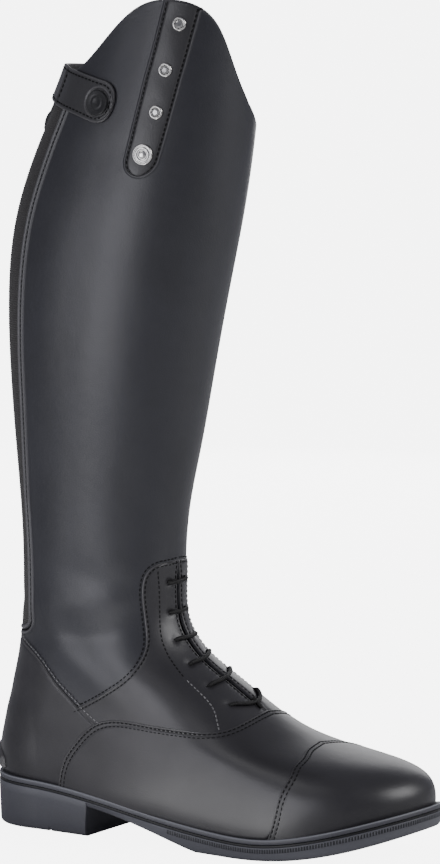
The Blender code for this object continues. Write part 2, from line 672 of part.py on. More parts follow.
def turned(name, profile, radius, height, finish, turn, row, lift):
    """Turned piece standing on the upper's outside, from a profile in shares of its radius and height."""
    mesh = bpy.data.meshes.new(name)
    work = bmesh.new()
    verts = [work.verts.new((across * radius * MM, 0, up * height * MM)) for across, up in profile]
    for start, end in zip(verts, verts[1:]):
        work.edges.new((start, end))
    work.to_mesh(mesh)
    work.free()
    obj = place(bpy.data.objects.new(name, mesh), finish)
    screw = obj.modifiers.new("Turn", "SCREW")
    screw.steps = screw.render_steps = TURNED_STEPS
    screw.use_merge_vertices = True
    screw.merge_threshold = MERGE
    screw.use_smooth_shade = True
    normal = Vector(skin_normal(turn, row))
    obj.location = metres(lifted(turn, row, lift))
    obj.rotation_euler = normal.to_track_quat("Z", "Y").to_euler()
    return obj


def make_fasteners(metal, black):
    """Rivets on the strap and the snap's cap on the tab."""
    strap_top = FIT_GAP + STRAP_WALL
    for rivet in records(RIVET_COLUMNS, RIVETS):
        turned(rivet["name"], RIVET_PROFILE, rivet["radius"], rivet["height"], metal, rivet["turn"],
               rivet["row"], strap_top + FIT_GAP)
    tab_top = float(tab_value("lift", SNAP_TURN)) + TAB_WALL
    turned("snap_button", SNAP_PROFILE, SNAP_RADIUS, SNAP_HEIGHT, black, SNAP_TURN, float(row_at(SNAP_Z)),
           tab_top + FIT_GAP)


def outline_object(name, outline, depth, finish, frame):
    """Flat outline of (across, along) points with a thickness, set in a frame of axes."""
    curve = bpy.data.curves.new(name, "CURVE")
    curve.dimensions = "2D"
    curve.fill_mode = "BOTH"
    curve.extrude = depth / 2 * MM
    path = curve.splines.new("POLY")
    path.points.add(len(outline) - 1)
    for point, (across, along) in zip(path.points, outline):
        point.co = (across * MM, along * MM, 0, 1)
    path.use_cyclic_u = True
    obj = place(bpy.data.objects.new(name, curve), finish)
    obj.matrix_local = frame
    return obj


def axes_frame(origin, x_axis, y_axis, z_axis):
    """Matrix with the given axes as columns and an origin in the tables' frame."""
    frame = Matrix((x_axis, y_axis, z_axis)).transposed().to_4x4()
    frame.translation = Vector(metres(origin))
    return frame


def make_slider(metal):
    """Zip slider with a rail, and the pull whose fork straddles the rail and turns on it."""
    row = float(row_at(SLIDER_TOP_Z - SLIDER_LENGTH / 2))
    out = Vector(skin_normal(0.0, row))
    side = Vector((0.0, 1.0, 0.0))
    down = out.cross(side)
    seat = FIT_GAP + ZIP_WALL + FIT_GAP
    middle = Vector(lifted(0.0, row, seat))
    half = SLIDER_WIDTH / 2
    rail = RAIL_WIDTH / 2
    block_top = SLIDER_THICKNESS
    rail_top = SLIDER_THICKNESS + RAIL_HEIGHT
    section = ((-half, 0), (half, 0), (half, block_top), (rail, block_top), (rail, rail_top),
               (-rail, rail_top), (-rail, block_top), (-half, block_top))
    outline_object("zip_slider", section, SLIDER_LENGTH, metal, axes_frame(middle, side, out, -down))

    lift = block_top + PULL_CLEARANCE + PULL_THICKNESS / 2
    hinge = middle - down * (SLIDER_LENGTH / 2 - HINGE_INSET) + out * lift
    wide = PULL_WIDTH / 2
    slot = rail + PULL_CLEARANCE
    tip = PULL_TIP_SHARE * wide
    corner = PULL_LENGTH - PULL_CORNER
    fork = ((-wide, -PULL_END), (-slot, -PULL_END), (-slot, PULL_FORK), (slot, PULL_FORK), (slot, -PULL_END),
            (wide, -PULL_END), (wide, corner), (tip, PULL_LENGTH), (-tip, PULL_LENGTH), (-wide, corner))
    outline_object("zip_pull", fork, PULL_THICKNESS, metal, axes_frame(hinge, side, down, out))


def make_laces(finish):
    """Bars of elastic lace lying on the facings and spanning the throat."""
    lift = PANEL_GAP + FACING_WALL + FIT_GAP + LACE_RADIUS
    for number, bar in enumerate(records(LACE_COLUMNS, LACE_BARS), start=1):
        name = f"lace_{number}"
        turns = wrapped(np.linspace(bar["turn"], 1 - bar["turn"], LACE_STEPS + 1))
        points = metres(lifted(turns, np.full(turns.shape, bar["row"]), np.full(turns.shape, lift)))
        curve = bpy.data.curves.new(name, "CURVE")
        curve.dimensions = "3D"
        curve.bevel_depth = LACE_RADIUS * MM
        curve.bevel_resolution = LACE_SIDE_STEPS
        curve.use_fill_caps = True
        path = curve.splines.new("POLY")
        path.points.add(len(points) - 1)
        for point, spot in zip(path.points, points):
            point.co = (*spot, 1)
        place(bpy.data.objects.new(name, curve), finish)


for old in list(bpy.data.objects):
    bpy.data.objects.remove(old, do_unlink=True)
BOOT = bpy.data.collections.new("tall_riding_boot")
bpy.context.scene.collection.children.link(BOOT)
ROOT = bpy.data.objects.new("boot_root", None)
BOOT.objects.link(ROOT)

black_leather = material("black_leather", (0.018, 0.017, 0.019), 0.42)
slate_rubber = material("slate_rubber", (0.046, 0.048, 0.058), 0.60)
black_elastic = material("black_elastic", (0.022, 0.019, 0.018), 0.80)
lining_leather = material("lining_leather", (0.030, 0.028, 0.028), 0.70)
zip_metal = material("zip_metal", (0.030, 0.030, 0.032), 0.40, 0.6)
silver_metal = material("silver_metal", (0.72, 0.72, 0.70), 0.25, 1.0)

make_sole(slate_rubber, lining_leather)
make_upper(black_leather)
make_tongue(lining_leather)
make_panels(black_leather)
make_zip(zip_metal, black_elastic, black_leather)
make_slider(zip_metal)
make_strap(black_leather)
make_fasteners(silver_metal, zip_metal)
make_laces(black_elastic)
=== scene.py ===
"""Looks of the tall riding boot: leather panels, seams, sole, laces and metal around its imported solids.

Sizes are millimetres with x counted from the back of the heel, and become metres of the part's frame when a
mesh is made. A place on the boot is a turn and a row: turn 0 is the back seam, 0.25 the middle of the outer
side, 0.5 the front, beyond 0.5 or below 0 the inner side. Row n is the n-th section, counted up from the
sole.
"""
import math

import bmesh
import bpy
import numpy as np
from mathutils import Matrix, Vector


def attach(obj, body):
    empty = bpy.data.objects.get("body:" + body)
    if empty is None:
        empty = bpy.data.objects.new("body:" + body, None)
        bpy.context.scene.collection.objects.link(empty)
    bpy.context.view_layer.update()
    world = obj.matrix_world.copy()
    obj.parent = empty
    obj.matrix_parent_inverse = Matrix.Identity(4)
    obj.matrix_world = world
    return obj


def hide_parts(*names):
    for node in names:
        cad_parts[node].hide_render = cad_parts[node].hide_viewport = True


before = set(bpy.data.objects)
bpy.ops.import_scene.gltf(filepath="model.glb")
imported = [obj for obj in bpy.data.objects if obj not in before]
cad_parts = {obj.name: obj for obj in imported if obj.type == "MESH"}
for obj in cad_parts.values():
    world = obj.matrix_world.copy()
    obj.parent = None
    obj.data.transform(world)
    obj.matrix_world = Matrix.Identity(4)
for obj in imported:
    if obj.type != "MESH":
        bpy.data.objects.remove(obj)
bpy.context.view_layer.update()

MM = 0.001
ORIGIN_X = 38.0
MERGE = 0.000002
SHARP_ANGLE = 48
SOFT_ANGLE = 80
SMALL_TURN = 0.0005
SMALL_ROW = 0.005

# Sections of the foot, from the sole up
LOOP_COLUMNS = ("back_x", "back_z", "front_x", "front_z", "swing",
                "lat_heel", "lat_waist", "lat_ball", "med_heel", "med_waist", "med_ball",
                "round_back", "round_front")
FOOT_SECTIONS = (
    (3.0, 31.5, 279.5, 33.0, 6.0, 34.0, 40.0, 51.0, 31.0, 25.5, 41.0, 39, 94),
    (1.8, 40.0, 279.0, 40.5, 6.0, 35.0, 41.0, 51.5, 32.0, 28.0, 42.0, 41, 92),
    (1.6, 49.0, 273.5, 48.5, 6.0, 35.0, 41.5, 50.5, 32.5, 30.0, 42.0, 42, 90),
    (3.2, 58.0, 257.0, 55.5, 5.0, 34.5, 41.0, 47.5, 32.5, 31.0, 41.0, 43, 88),
    (5.3, 68.0, 228.0, 60.8, 4.0, 34.0, 39.5, 44.0, 32.5, 32.0, 39.5, 43, 80),
    (7.5, 77.0, 199.5, 67.2, 3.0, 33.0, 37.5, 41.0, 32.0, 32.5, 38.0, 44, 70),
    (9.7, 87.0, 175.5, 79.0, 2.0, 32.5, 36.0, 38.5, 32.0, 33.0, 36.5, 44, 64),
    (11.8, 97.0, 154.5, 91.8, 1.0, 32.0, 35.0, 36.5, 32.0, 33.5, 35.5, 46, 58),
    (13.6, 107.5, 135.5, 104.2, 0.5, 32.5, 34.5, 35.0, 32.5, 33.5, 34.5, 48, 54),
    (15.0, 119.0, 123.5, 118.0, 0.0, 33.5, 34.5, 34.5, 33.5, 34.0, 34.5, 49, 52),
    (16.0, 131.0, 118.8, 131.5, 0.0, 35.0, 35.5, 35.0, 35.0, 35.5, 35.0, 50, 51),
)
# Level sections of the shaft
SHAFT_COLUMNS = ("back_x", "front_x", "z", "half_breadth")
SHAFT_SECTIONS = (
    (16.8, 118.0, 146.5, 36.0),
    (16.8, 118.4, 170.0, 37.0),
    (15.2, 121.8, 198.0, 38.5),
    (12.2, 129.3, 232.0, 41.0),
    (9.4, 137.8, 276.0, 44.5),
    (9.0, 147.0, 320.0, 46.5),
    (15.0, 156.3, 362.0, 47.0),
    (31.0, 163.7, 404.0, 45.0),
    (51.0, 168.5, 446.0, 42.0),
    (65.0, 173.0, 488.0, 39.5),
    (70.0, 175.0, 510.0, 38.0),
)
BREADTH_STATIONS = (0.15, 0.45, 0.75)
LAST_STATION = 0.9
ROUND_POWER = 2.5
SAG_ROWS = 8
COLLAR_COLUMNS = ("turn", "z")
COLLAR = (
    (-0.50, 428), (-0.455, 418), (-0.38, 412), (-0.28, 412), (-0.15, 424), (0.0, 441), (0.06, 442),
    (0.115, 444.5), (0.162, 452), (0.215, 472), (0.25, 482), (0.301, 486), (0.362, 481), (0.407, 469),
    (0.463, 442), (0.50, 428),
)
THROAT_COLUMNS = ("row", "half_gap")
THROAT = (
    (6.15, 0.0), (6.35, 0.017), (6.9, 0.021), (8.2, 0.020), (9.0, 0.010), (10.0, 0.005), (11.3, 0.004),
    (11.55, 0.0),
)
THROAT_START = 0.46
THROAT_SHOWN = 0.0065
UPPER_WALL = 2.0

# Sole
SOLE_LENGTH = 285.0
SOLE_LOOP = (0.0, 0.0, SOLE_LENGTH, 0.0, 6.0, 37.0, 44.0, 56.0, 34.0, 29.0, 45.5, 40, 97)
SOLE_LINE_COLUMNS = ("x", "z")
SOLE_LINE = ((0, 31), (60, 28), (130, 18), (165, 14.3), (200, 13.6), (240, 20.4), (285, 32.8))
HEEL_BREAST = 78.0
BREAST_SLOPE = 1.5
HEEL_GROOVE = (50.6, 51.0, 52.6, 53.0)
GROOVE_DEPTH = 1.0
SHANK_COLUMNS = ("x", "z")
SHANK = ((79.5, 17.3), (93, 15.2), (107, 12.3), (122, 8.6), (138, 4.4), (150, 1.4), (157, 0))
TREAD_END = 180.0
TOE_SPRING = 20.0
WELT_DROP = 0.3
WELT_THICKNESS = 3.0
WELT_GAP = 0.4

# Seams by turn and row on the outer side; the inner side mirrors them
SEAM_COLUMNS = ("turn", "row")
VAMP_TOP = (
    (0.1465, -0.12), (0.153, 1.3), (0.167, 2.66), (0.187, 3.66), (0.209, 4.41), (0.249, 5.02),
    (0.277, 5.08), (0.328, 5.14), (0.357, 5.17), (0.385, 5.32), (0.422, 5.60), (0.469, 5.87), (0.50, 5.95),
)
CAP_EDGE = (
    (0.330, -0.12), (0.337, 1.05), (0.349, 2.18), (0.366, 2.83), (0.384, 3.33), (0.418, 3.90),
    (0.449, 4.32), (0.50, 4.62),
)
COUNTER_TOP = (
    (0.216, 4.05), (0.2088, 4.50), (0.1955, 5.53), (0.179, 6.36), (0.152, 7.57), (0.11, 8.10),
    (0.065, 8.37), (0.0, 8.35),
)
COUNTER_FRONT = ((0.216, 4.05), (0.196, 3.3), (0.178, 2.3), (0.166, 1.1), (0.160, -0.12))
FACING_BACK = (
    (0.190, 5.06), (0.212, 5.50), (0.26, 6.41), (0.309, 7.25), (0.352, 7.99), (0.388, 8.84), (0.397, 9.40),
    (0.399, 10.3), (0.400, 11.10), (0.410, 11.43), (0.428, 11.59), (0.46, 11.65),
)
EYESTAY = (
    (0.4355, 11.48), (0.4385, 10.79), (0.435, 9.87), (0.420, 8.62), (0.413, 7.89), (0.408, 7.31),
    (0.408, 6.63), (0.404, 6.18), (0.392, 5.74), (0.378, 5.30),
)
FACING_TOP_ROW = 11.68
FACING_LOW_ROW = 5.75
FACING_FRONT = 0.4985
FEATHER_ROW = -0.12
UNDERLAP_ROWS = 0.3


def columns(names, table):
    """Columns of a table as arrays by name."""
    return {name: np.array(column) for name, column in zip(names, zip(*table))}


def spline(knots, values, at):
    """Natural cubic spline through the values at the knots, read at any places."""
    knots = np.asarray(knots, float)
    values = np.asarray(values, float)
    at = np.asarray(at, float)
    count = len(knots)
    step = np.diff(knots)
    tail = (1,) * (values.ndim - 1)
    slope = np.diff(values, axis=0) / step.reshape((-1,) + tail)
    system = np.eye(count)
    right = np.zeros_like(values)
    for i in range(1, count - 1):
        system[i, i - 1:i + 2] = step[i - 1], 2 * (step[i - 1] + step[i]), step[i]
        right[i] = 6 * (slope[i] - slope[i - 1])
    bend = np.linalg.solve(system, right)
    cell = np.clip(np.searchsorted(knots, at, side="right") - 1, 0, count - 2)
    width = step[cell].reshape(at.shape + tail)
    before = (knots[cell + 1] - at).reshape(at.shape + tail)
    after = (at - knots[cell]).reshape(at.shape + tail)
    cubic = (bend[cell] * before**3 + bend[cell + 1] * after**3) / (6 * width)
    start = (values[cell] / width - bend[cell] * width / 6) * before
    end = (values[cell + 1] / width - bend[cell + 1] * width / 6) * after
    return cubic + start + end


def shaft_loop(back_x, front_x, z, half_breadth):
    """Full loop row for a level oval of the shaft."""
    half_depth = (front_x - back_x) / 2
    return (back_x, z, front_x, z, 0.0) + (half_breadth,) * 6 + (half_depth, half_depth)


SECTIONS = np.array(FOOT_SECTIONS + tuple(shaft_loop(*row) for row in SHAFT_SECTIONS))
SHAFT_ROWS = np.arange(len(FOOT_SECTIONS), len(SECTIONS))
SHAFT_Z = columns(SHAFT_COLUMNS, SHAFT_SECTIONS)["z"]


def named(row):
    """Loop sizes by column name."""
    row = np.asarray(row, float)
    return {name: row[..., k] for k, name in enumerate(LOOP_COLUMNS)}


def sole_line(x):
    """Height of the welt's upper edge at x."""
    line = columns(SOLE_LINE_COLUMNS, SOLE_LINE)
    return spline(line["x"], line["z"], x)


def smooth(low, high, value):
    """Smooth step: 0 before low, 1 after high."""
    share = np.clip((value - low) / (high - low), 0, 1)
    return share * share * (3 - 2 * share)


def wrapped(turn):
    """Turn brought into the range from -0.5 to 0.5."""
    turn = np.asarray(turn, float)
    return turn - np.round(turn)


def ease(share):
    """Rounded end of a loop: 0 at its tip, 1 from a share of 1 on."""
    return np.sqrt(1 - (1 - np.clip(share, 0, 1)) ** ROUND_POWER)


def place(turn, row):
    """Array of (turn, row) places; either may be a single value."""
    return np.stack(np.broadcast_arrays(turn, row), -1)


def parted(places):
    """Turns and rows of an array of places."""
    return places[..., 0], places[..., 1]


def plan(loop, turn):
    """Plan view of a loop at a turn, and the share of its length from back to front."""
    turn = wrapped(turn)
    share = (1 - np.cos(2 * math.pi * turn)) / 2
    length = loop["front_x"] - loop["back_x"]
    lateral = turn > 0
    weights = spline(BREADTH_STATIONS, np.eye(3), np.clip(share, BREADTH_STATIONS[0], LAST_STATION))
    breadth = 0.0
    for k, place in enumerate(("heel", "waist", "ball")):
        breadth = breadth + weights[..., k] * np.where(lateral, loop["lat_" + place], loop["med_" + place])
    ends = ease(share * length / loop["round_back"]) * ease((1 - share) * length / loop["round_front"])
    x = loop["back_x"] + share * length
    y = loop["swing"] * share**2 + np.where(lateral, -1, 1) * breadth * ends
    return x, y, share


def skin(turn, row):
    """Point of the upper's outside: its section's loop, whose lowest rows follow the sole's line."""
    turn, row = np.broadcast_arrays(np.asarray(turn, float), np.asarray(row, float))
    loop = named(spline(np.arange(len(SECTIONS)), SECTIONS, row))
    x, y, share = plan(loop, turn)
    z = loop["back_z"] + share * (loop["front_z"] - loop["back_z"])
    first = named(SECTIONS[0])
    chord = first["back_z"] + (x - first["back_x"]) / (first["front_x"] - first["back_x"]) * (
        first["front_z"] - first["back_z"])
    fade = np.clip(1 - row / SAG_ROWS, 0, None) ** 2
    return np.stack([x, y, z + fade * (sole_line(x) - chord)], -1)


def unit(vectors):
    """Vectors scaled to a length of 1."""
    return vectors / np.linalg.norm(vectors, axis=-1, keepdims=True)


def dot(a, b):
    """Scalar products of two arrays of vectors."""
    return np.sum(a * b, -1)


def slopes(turn, row):
    """Change of the skin's point per turn and per row, from small steps to both sides."""
    per_turn = (skin(turn + SMALL_TURN, row) - skin(turn - SMALL_TURN, row)) / (2 * SMALL_TURN)
    per_row = (skin(turn, row + SMALL_ROW) - skin(turn, row - SMALL_ROW)) / (2 * SMALL_ROW)
    return per_turn, per_row


def skin_normal(turn, row):
    """Outward unit normal: the cross product of the two slopes."""
    return unit(np.cross(*slopes(turn, row)))


# Soft troughs (positive depth) and swells (negative) of the worn leather, in millimetres on the surface:
# turn, z, tilt in degrees, half length, half width, depth
DENTS = (
    (0.250, 117, 6, 46, 8, 1.0),
    (0.265, 137, 4, 40, 8, -0.5),
    (0.300, 152, -12, 34, 8, 0.5),
    (0.222, 106, -60, 30, 9, -1.0),
    (-0.250, 122, -4, 46, 8, 1.1),
    (-0.320, 150, 10, 32, 8, 0.7),
    (-0.222, 106, 58, 30, 9, -0.8),
    (0.05, 133, 8, 26, 6, 0.6),
    (-0.06, 150, -8, 30, 7, 0.6),
    (0.215, 265, 78, 90, 16, 0.5),
    (0.330, 330, 84, 80, 15, 0.5),
    (-0.300, 300, 82, 90, 17, 0.6),
    (0.28, 400, 20, 45, 14, 0.4),
    (-0.20, 380, -14, 45, 12, 0.5),
    (0.270, 17, -14, 36, 14, -1.6),
    (0.225, 34, -10, 14, 20, -1.3),
    (-0.270, 17, 14, 36, 14, -1.4),
)
DENT_GIRTH = 330.0


def dents(turn, z):
    """Depth of the leather's wear: a sum of bells exp(-(along / length)^2 - (across / width)^2)."""
    total = np.zeros(np.shape(z))
    for turn0, z0, tilt, length, width, depth in DENTS:
        right = wrapped(turn - turn0) * DENT_GIRTH
        up = z - z0
        cos, sin = math.cos(math.radians(tilt)), math.sin(math.radians(tilt))
        total = total - depth * np.exp(-((right * cos + up * sin) / length) ** 2
                                       - ((up * cos - right * sin) / width) ** 2)
    return total


def lifted(turn, row, lift):
    """Point at a lift off the upper's outside with its dents; a negative lift lies inside."""
    turn, row, lift = np.broadcast_arrays(*(np.asarray(value, float) for value in (turn, row, lift)))
    point = skin(turn, row)
    return point + (lift + dents(turn, point[..., 2]))[..., None] * skin_normal(turn, row)


def row_at(z):
    """Row of the shaft at a height."""
    return np.interp(z, SHAFT_Z, SHAFT_ROWS)


def collar_row(turn, margin=0.0):
    """Row of the collar's edge at a turn, or at a margin below it."""
    collar = columns(COLLAR_COLUMNS, COLLAR)
    return row_at(spline(collar["turn"], collar["z"], wrapped(turn)) - margin)


def throat_gap(row):
    """Half opening between the facings at a row, in turns; the leather closes in over the wider slit."""
    throat = columns(THROAT_COLUMNS, THROAT)
    return np.minimum(np.interp(row, throat["row"], throat["half_gap"], left=0.0, right=0.0), THROAT_SHOWN)


def cumulative(points, axis=0):
    """Length in mm along a grid's lines from their start to each point."""
    step = np.linalg.norm(np.diff(points, axis=axis), axis=-1)
    start = np.zeros_like(np.take(step, [0], axis=axis))
    return np.concatenate([start, np.cumsum(step, axis=axis)], axis=axis)


def resampled(path, count=None, step=None, closed_ends=True):
    """Path of (turn, row) places read again at even lengths along the skin, by a count or a step in mm."""
    length = cumulative(skin(*parted(path)))
    if count is None:
        count = max(3, round(length[-1] / step))
    margin = 0.0 if closed_ends else length[-1] / count / 2
    even = np.linspace(margin, length[-1] - margin, count)
    return place(*(np.interp(even, length, values) for values in parted(path)))


def run(points, count):
    """Smooth path through given (turn, row) points: a natural spline over chord length, evenly read."""
    knots = np.array(points, float)
    chord = cumulative(skin(*parted(knots)))
    dense = spline(chord, knots, np.linspace(0, chord[-1], 40 * len(knots)))
    return resampled(dense, count)


def mirrored(path):
    """Path carried on over the front or back to the other side of the boot."""
    other = path[::-1][1:].copy()
    other[:, 0] = 2 * path[-1, 0] - other[:, 0]
    return np.concatenate([path, other])


def beside(path, offset):
    """Path moved sideways on the skin by an offset in mm, to the left of its direction seen from outside."""
    turn, row = parted(path)
    per_turn, per_row = slopes(turn, row)
    along = unit(np.gradient(skin(turn, row), axis=0))
    side = np.cross(unit(np.cross(per_turn, per_row)), along)
    tt, rr, tr = dot(per_turn, per_turn), dot(per_row, per_row), dot(per_turn, per_row)
    st, sr = dot(side, per_turn), dot(side, per_row)
    scale = offset / (tt * rr - tr**2)
    return place(turn + scale * (st * rr - sr * tr), row + scale * (sr * tt - st * tr))


def metres(points):
    """Points of the tables' frame in metres of the part's frame."""
    return (np.asarray(points, float) - (ORIGIN_X, 0.0, 0.0)) * MM


def net(points, wrap_rows=False, wrap_columns=False, flip=False, finish=0):
    """Part of a piece: a grid of points, the quads between its neighbours, and the number of its finish.

    A wrapped side joins its last line to its first.
    """
    index = np.arange(points.shape[0] * points.shape[1]).reshape(points.shape[:2])
    if wrap_rows:
        index = np.concatenate([index, index[:1]])
    if wrap_columns:
        index = np.concatenate([index, index[:, :1]], axis=1)
    faces = np.stack([index[:-1, :-1], index[:-1, 1:], index[1:, 1:], index[1:, :-1]], -1).reshape(-1, 4)
    return points, faces[:, ::-1] if flip else faces, finish


def piece(name, parts, finishes, node=None, body="boot", edge=None, sharp=SHARP_ANGLE, closed=True):
    """Object from (points, faces, finish number) parts, with doubles merged and faces turned outwards.

    Edge values, one for each point, become the attribute that a finish reads for its pale rims, partly wear
    and partly painted highlight, and for the painted shade of its channels and grooves.
    """
    points = np.concatenate([np.reshape(part[0], (-1, 3)) for part in parts])
    first = np.cumsum([0] + [np.size(part[0]) // 3 for part in parts])
    faces = [face for part, start in zip(parts, first) for face in (np.asarray(part[1]) + start).tolist()]
    numbers = np.concatenate([np.full(len(part[1]), part[2]) for part in parts])
    mesh = bpy.data.meshes.new(name)
    mesh.from_pydata(metres(points).tolist(), [], faces)
    mesh.polygons.foreach_set("material_index", numbers.astype(np.int32))
    if edge is not None:
        worn_and_highlit = mesh.attributes.new("edge", "FLOAT", "POINT")
        worn_and_highlit.data.foreach_set("value", np.ravel(edge).astype(np.float32))
    work = bmesh.new()
    work.from_mesh(mesh)
    bmesh.ops.remove_doubles(work, verts=work.verts, dist=MERGE)
    bmesh.ops.dissolve_degenerate(work, edges=work.edges, dist=MERGE)
    if closed:
        bmesh.ops.recalc_face_normals(work, faces=work.faces)
    work.to_mesh(mesh)
    work.free()
    mesh.shade_smooth()
    mesh.set_sharp_from_angle(angle=math.radians(sharp))
    for finish in finishes:
        mesh.materials.append(finish)
    obj = bpy.data.objects.new(name, mesh)
    bpy.context.scene.collection.objects.link(obj)
    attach(obj, body)
    if node:
        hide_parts(node)
    return obj


# Close steps in mm from a panel's edge inwards, for its rounded rim and the dip under its stitches
RIM_STEPS = np.array((0, 0.06, 0.22, 0.5, 0.9, 1.3, 1.7, 2.1, 2.6))
RIM_ROUND = 0.9
STITCH_INSET = 1.7
STITCH_DIP = 0.28
DIP_WIDTH = 0.62
# Reach of a rim's pale band, partly wear and partly painted highlight
WEAR_AND_HIGHLIGHT_REACH = 0.8
PANEL_BASE = 0.05
ALL_SIDES = ("low", "high", "start", "end")


def rounded(distance, height, base=0.0, radius=RIM_ROUND):
    """Lift of a rim: base at its edge, rising on a quarter round to the full height."""
    return base + (height - base) * np.sqrt(1 - (1 - np.clip(distance / radius, 0, 1)) ** 2)


def dip(distance, *rows):
    """Shallow dip under each row of stitches, a bell across the row."""
    return -STITCH_DIP * sum(np.exp(-((distance - row) / DIP_WIDTH) ** 2) for row in rows)


def rim_wear_and_painted_light(distance, *rows):
    """Rim and channel value of a panel: 1 at its rim, pale from wear and a painted highlight, -1 in the
    channel of each row of stitches, darkened by painted shade.
    """
    return np.exp(-distance / WEAR_AND_HIGHLIGHT_REACH) + dip(distance, *rows) / STITCH_DIP


def patch(low, high, count, rim_low=None, rim_high=None):
    """Places on lines from one path to another, evenly spread, with close steps at the rims that show."""
    width = cumulative(np.stack([skin(*(low + s * (high - low)).T) for s in np.linspace(0, 1, 9)], 1), axis=1)
    width = np.maximum(width[:, -1:], 0.001)
    near_low = np.zeros(1) if rim_low is None else rim_low
    near_high = np.zeros(1) if rim_high is None else rim_high
    scale = np.minimum(1, width / (2 * (near_low[-1] + near_high[-1]) + 0.001))
    first = near_low[None, :] * scale
    last = width - near_high[None, ::-1] * scale
    inner = np.linspace(0, 1, count + 1)[None, 1:-1]
    middle = first[:, -1:] + inner * (last[:, :1] - first[:, -1:])
    share = np.concatenate([first, middle, last], axis=1) / width
    return low[:, None, :] + share[..., None] * (high - low)[:, None, :]


def edge_distance(points, sides=ALL_SIDES):
    """Distance in mm along a grid's lines from each point to the nearest of the named sides."""
    across = cumulative(points, axis=1)
    along = cumulative(points, axis=0)
    found = {"low": across, "high": across[:, -1:] - across, "start": along, "end": along[-1:] - along}
    return np.minimum.reduce([found[side] for side in sides])


def shut(lift, base):
    """Lift brought down to the base along all four sides of a grid, so that the sheet's rim is closed."""
    lift = lift.copy()
    for side in (np.s_[0], np.s_[-1], np.s_[:, 0], np.s_[:, -1]):
        lift[side] = base
    return lift


def sheet(name, places, top, base, finish, node, edge=None):
    """Closed sheet between two lifts over one grid of places; the lifts meet along its four sides."""
    parts = [net(lifted(*parted(places), top)), net(lifted(*parted(places), base), flip=True)]
    edge = None if edge is None else np.concatenate([edge.ravel()] * 2)
    piece(name, parts, [finish], node, edge=edge)


def panel(name, places, height, sides, node, stitch_rows=(STITCH_INSET,), extra=0.0):
    """Leather on the upper, with rounded rims along the sides that show and dips under its stitches."""
    distance = edge_distance(skin(*parted(places)), sides)
    top = shut(rounded(distance, height, PANEL_BASE) + dip(distance, *stitch_rows) + extra, PANEL_BASE)
    # Pale rims: partly wear, partly painted highlight; painted shade in the stitch channels
    sheet(name, places, top, PANEL_BASE, FOOT_LEATHER, node, rim_wear_and_painted_light(distance, *stitch_rows))


# Stitches
STITCH_PITCH = 2.9
STITCH_HALF = (1.95 / 2, 0.42, 0.42)
CAPSULE_RINGS = np.array((-1.0, -0.86, -0.4, 0.4, 0.86, 1.0))
CAPSULE_SIDES = 6


def axes_on(path, centre):
    """Unit vectors at points over a path on the boot: along it, to its side, and outwards."""
    along = unit(np.gradient(centre, axis=0))
    out = skin_normal(*parted(path))
    return along, unit(np.cross(out, along)), out


def capsules(centre, axes, half_sizes):
    """A capsule at each centre on its three axes: rings along x whose radius is sqrt(1 - x^8)."""
    angle = np.arange(CAPSULE_SIDES) / CAPSULE_SIDES * 2 * math.pi
    radius = np.sqrt(np.clip(1 - CAPSULE_RINGS**8, 0, None))[:, None]
    x = np.broadcast_to(CAPSULE_RINGS[:, None], (len(CAPSULE_RINGS), CAPSULE_SIDES))
    grid = np.stack([x, radius * np.cos(angle), radius * np.sin(angle)], -1)
    shape = grid.reshape(1, -1, 3)
    points = centre[:, None, :] + sum(
        half * shape[..., k:k + 1] * axis[:, None, :] for k, (axis, half) in enumerate(zip(axes, half_sizes)))
    first = np.arange(len(points))[:, None, None] * shape.shape[1]
    return points, (net(grid, wrap_columns=True)[1] + first).reshape(-1, 4), 0


def stitches(name, rows, finish):
    """Rows of thread: a capsule at each even step of each path, along it and half sunk at the row's lift."""
    parts = []
    for path, lift in rows:
        path = resampled(path, step=STITCH_PITCH, closed_ends=False)
        centre = lifted(*parted(path), lift)
        along, side, _ = axes_on(path, centre)
        parts.append(capsules(centre, (along, side, np.cross(along, side)), STITCH_HALF))
    piece(name, parts, [finish])


def tube(path, radius, sides):
    """Rings of points round a path of points, closed at both ends by shrinking to the end points."""
    along = unit(np.gradient(path, axis=0))
    side = unit(np.cross(along, (0.0, 0.0, 1.0)))
    up = np.cross(side, along)
    angle = np.arange(sides) / sides * 2 * math.pi
    ring = np.cos(angle)[None, :, None] * side[:, None, :] + np.sin(angle)[None, :, None] * up[:, None, :]
    radius = np.broadcast_to(radius, len(path))[:, None, None]
    rings = path[:, None, :] + radius * ring
    ends = [np.broadcast_to(path[k], (1, sides, 3)) for k in (0, -1)]
    return net(np.concatenate([ends[0], rings, ends[1]]), wrap_columns=True)


def turned(profile, centre, normal, sides):
    """Rings of a turned piece: (radius, height) pairs carried round an axis through a centre."""
    normal = unit(np.asarray(normal, float))
    side = unit(np.cross(normal, (0.0, 0.0, 1.0) if abs(normal[2]) < 0.9 else (1.0, 0.0, 0.0)))
    up = np.cross(normal, side)
    angle = np.arange(sides) / sides * 2 * math.pi
    ring = np.cos(angle)[:, None] * side + np.sin(angle)[:, None] * up
    profile = np.asarray(profile, float)
    points = centre + profile[:, :1, None] * ring[None] + profile[:, 1:, None] * normal
    return net(points, wrap_columns=True)


# Finishes

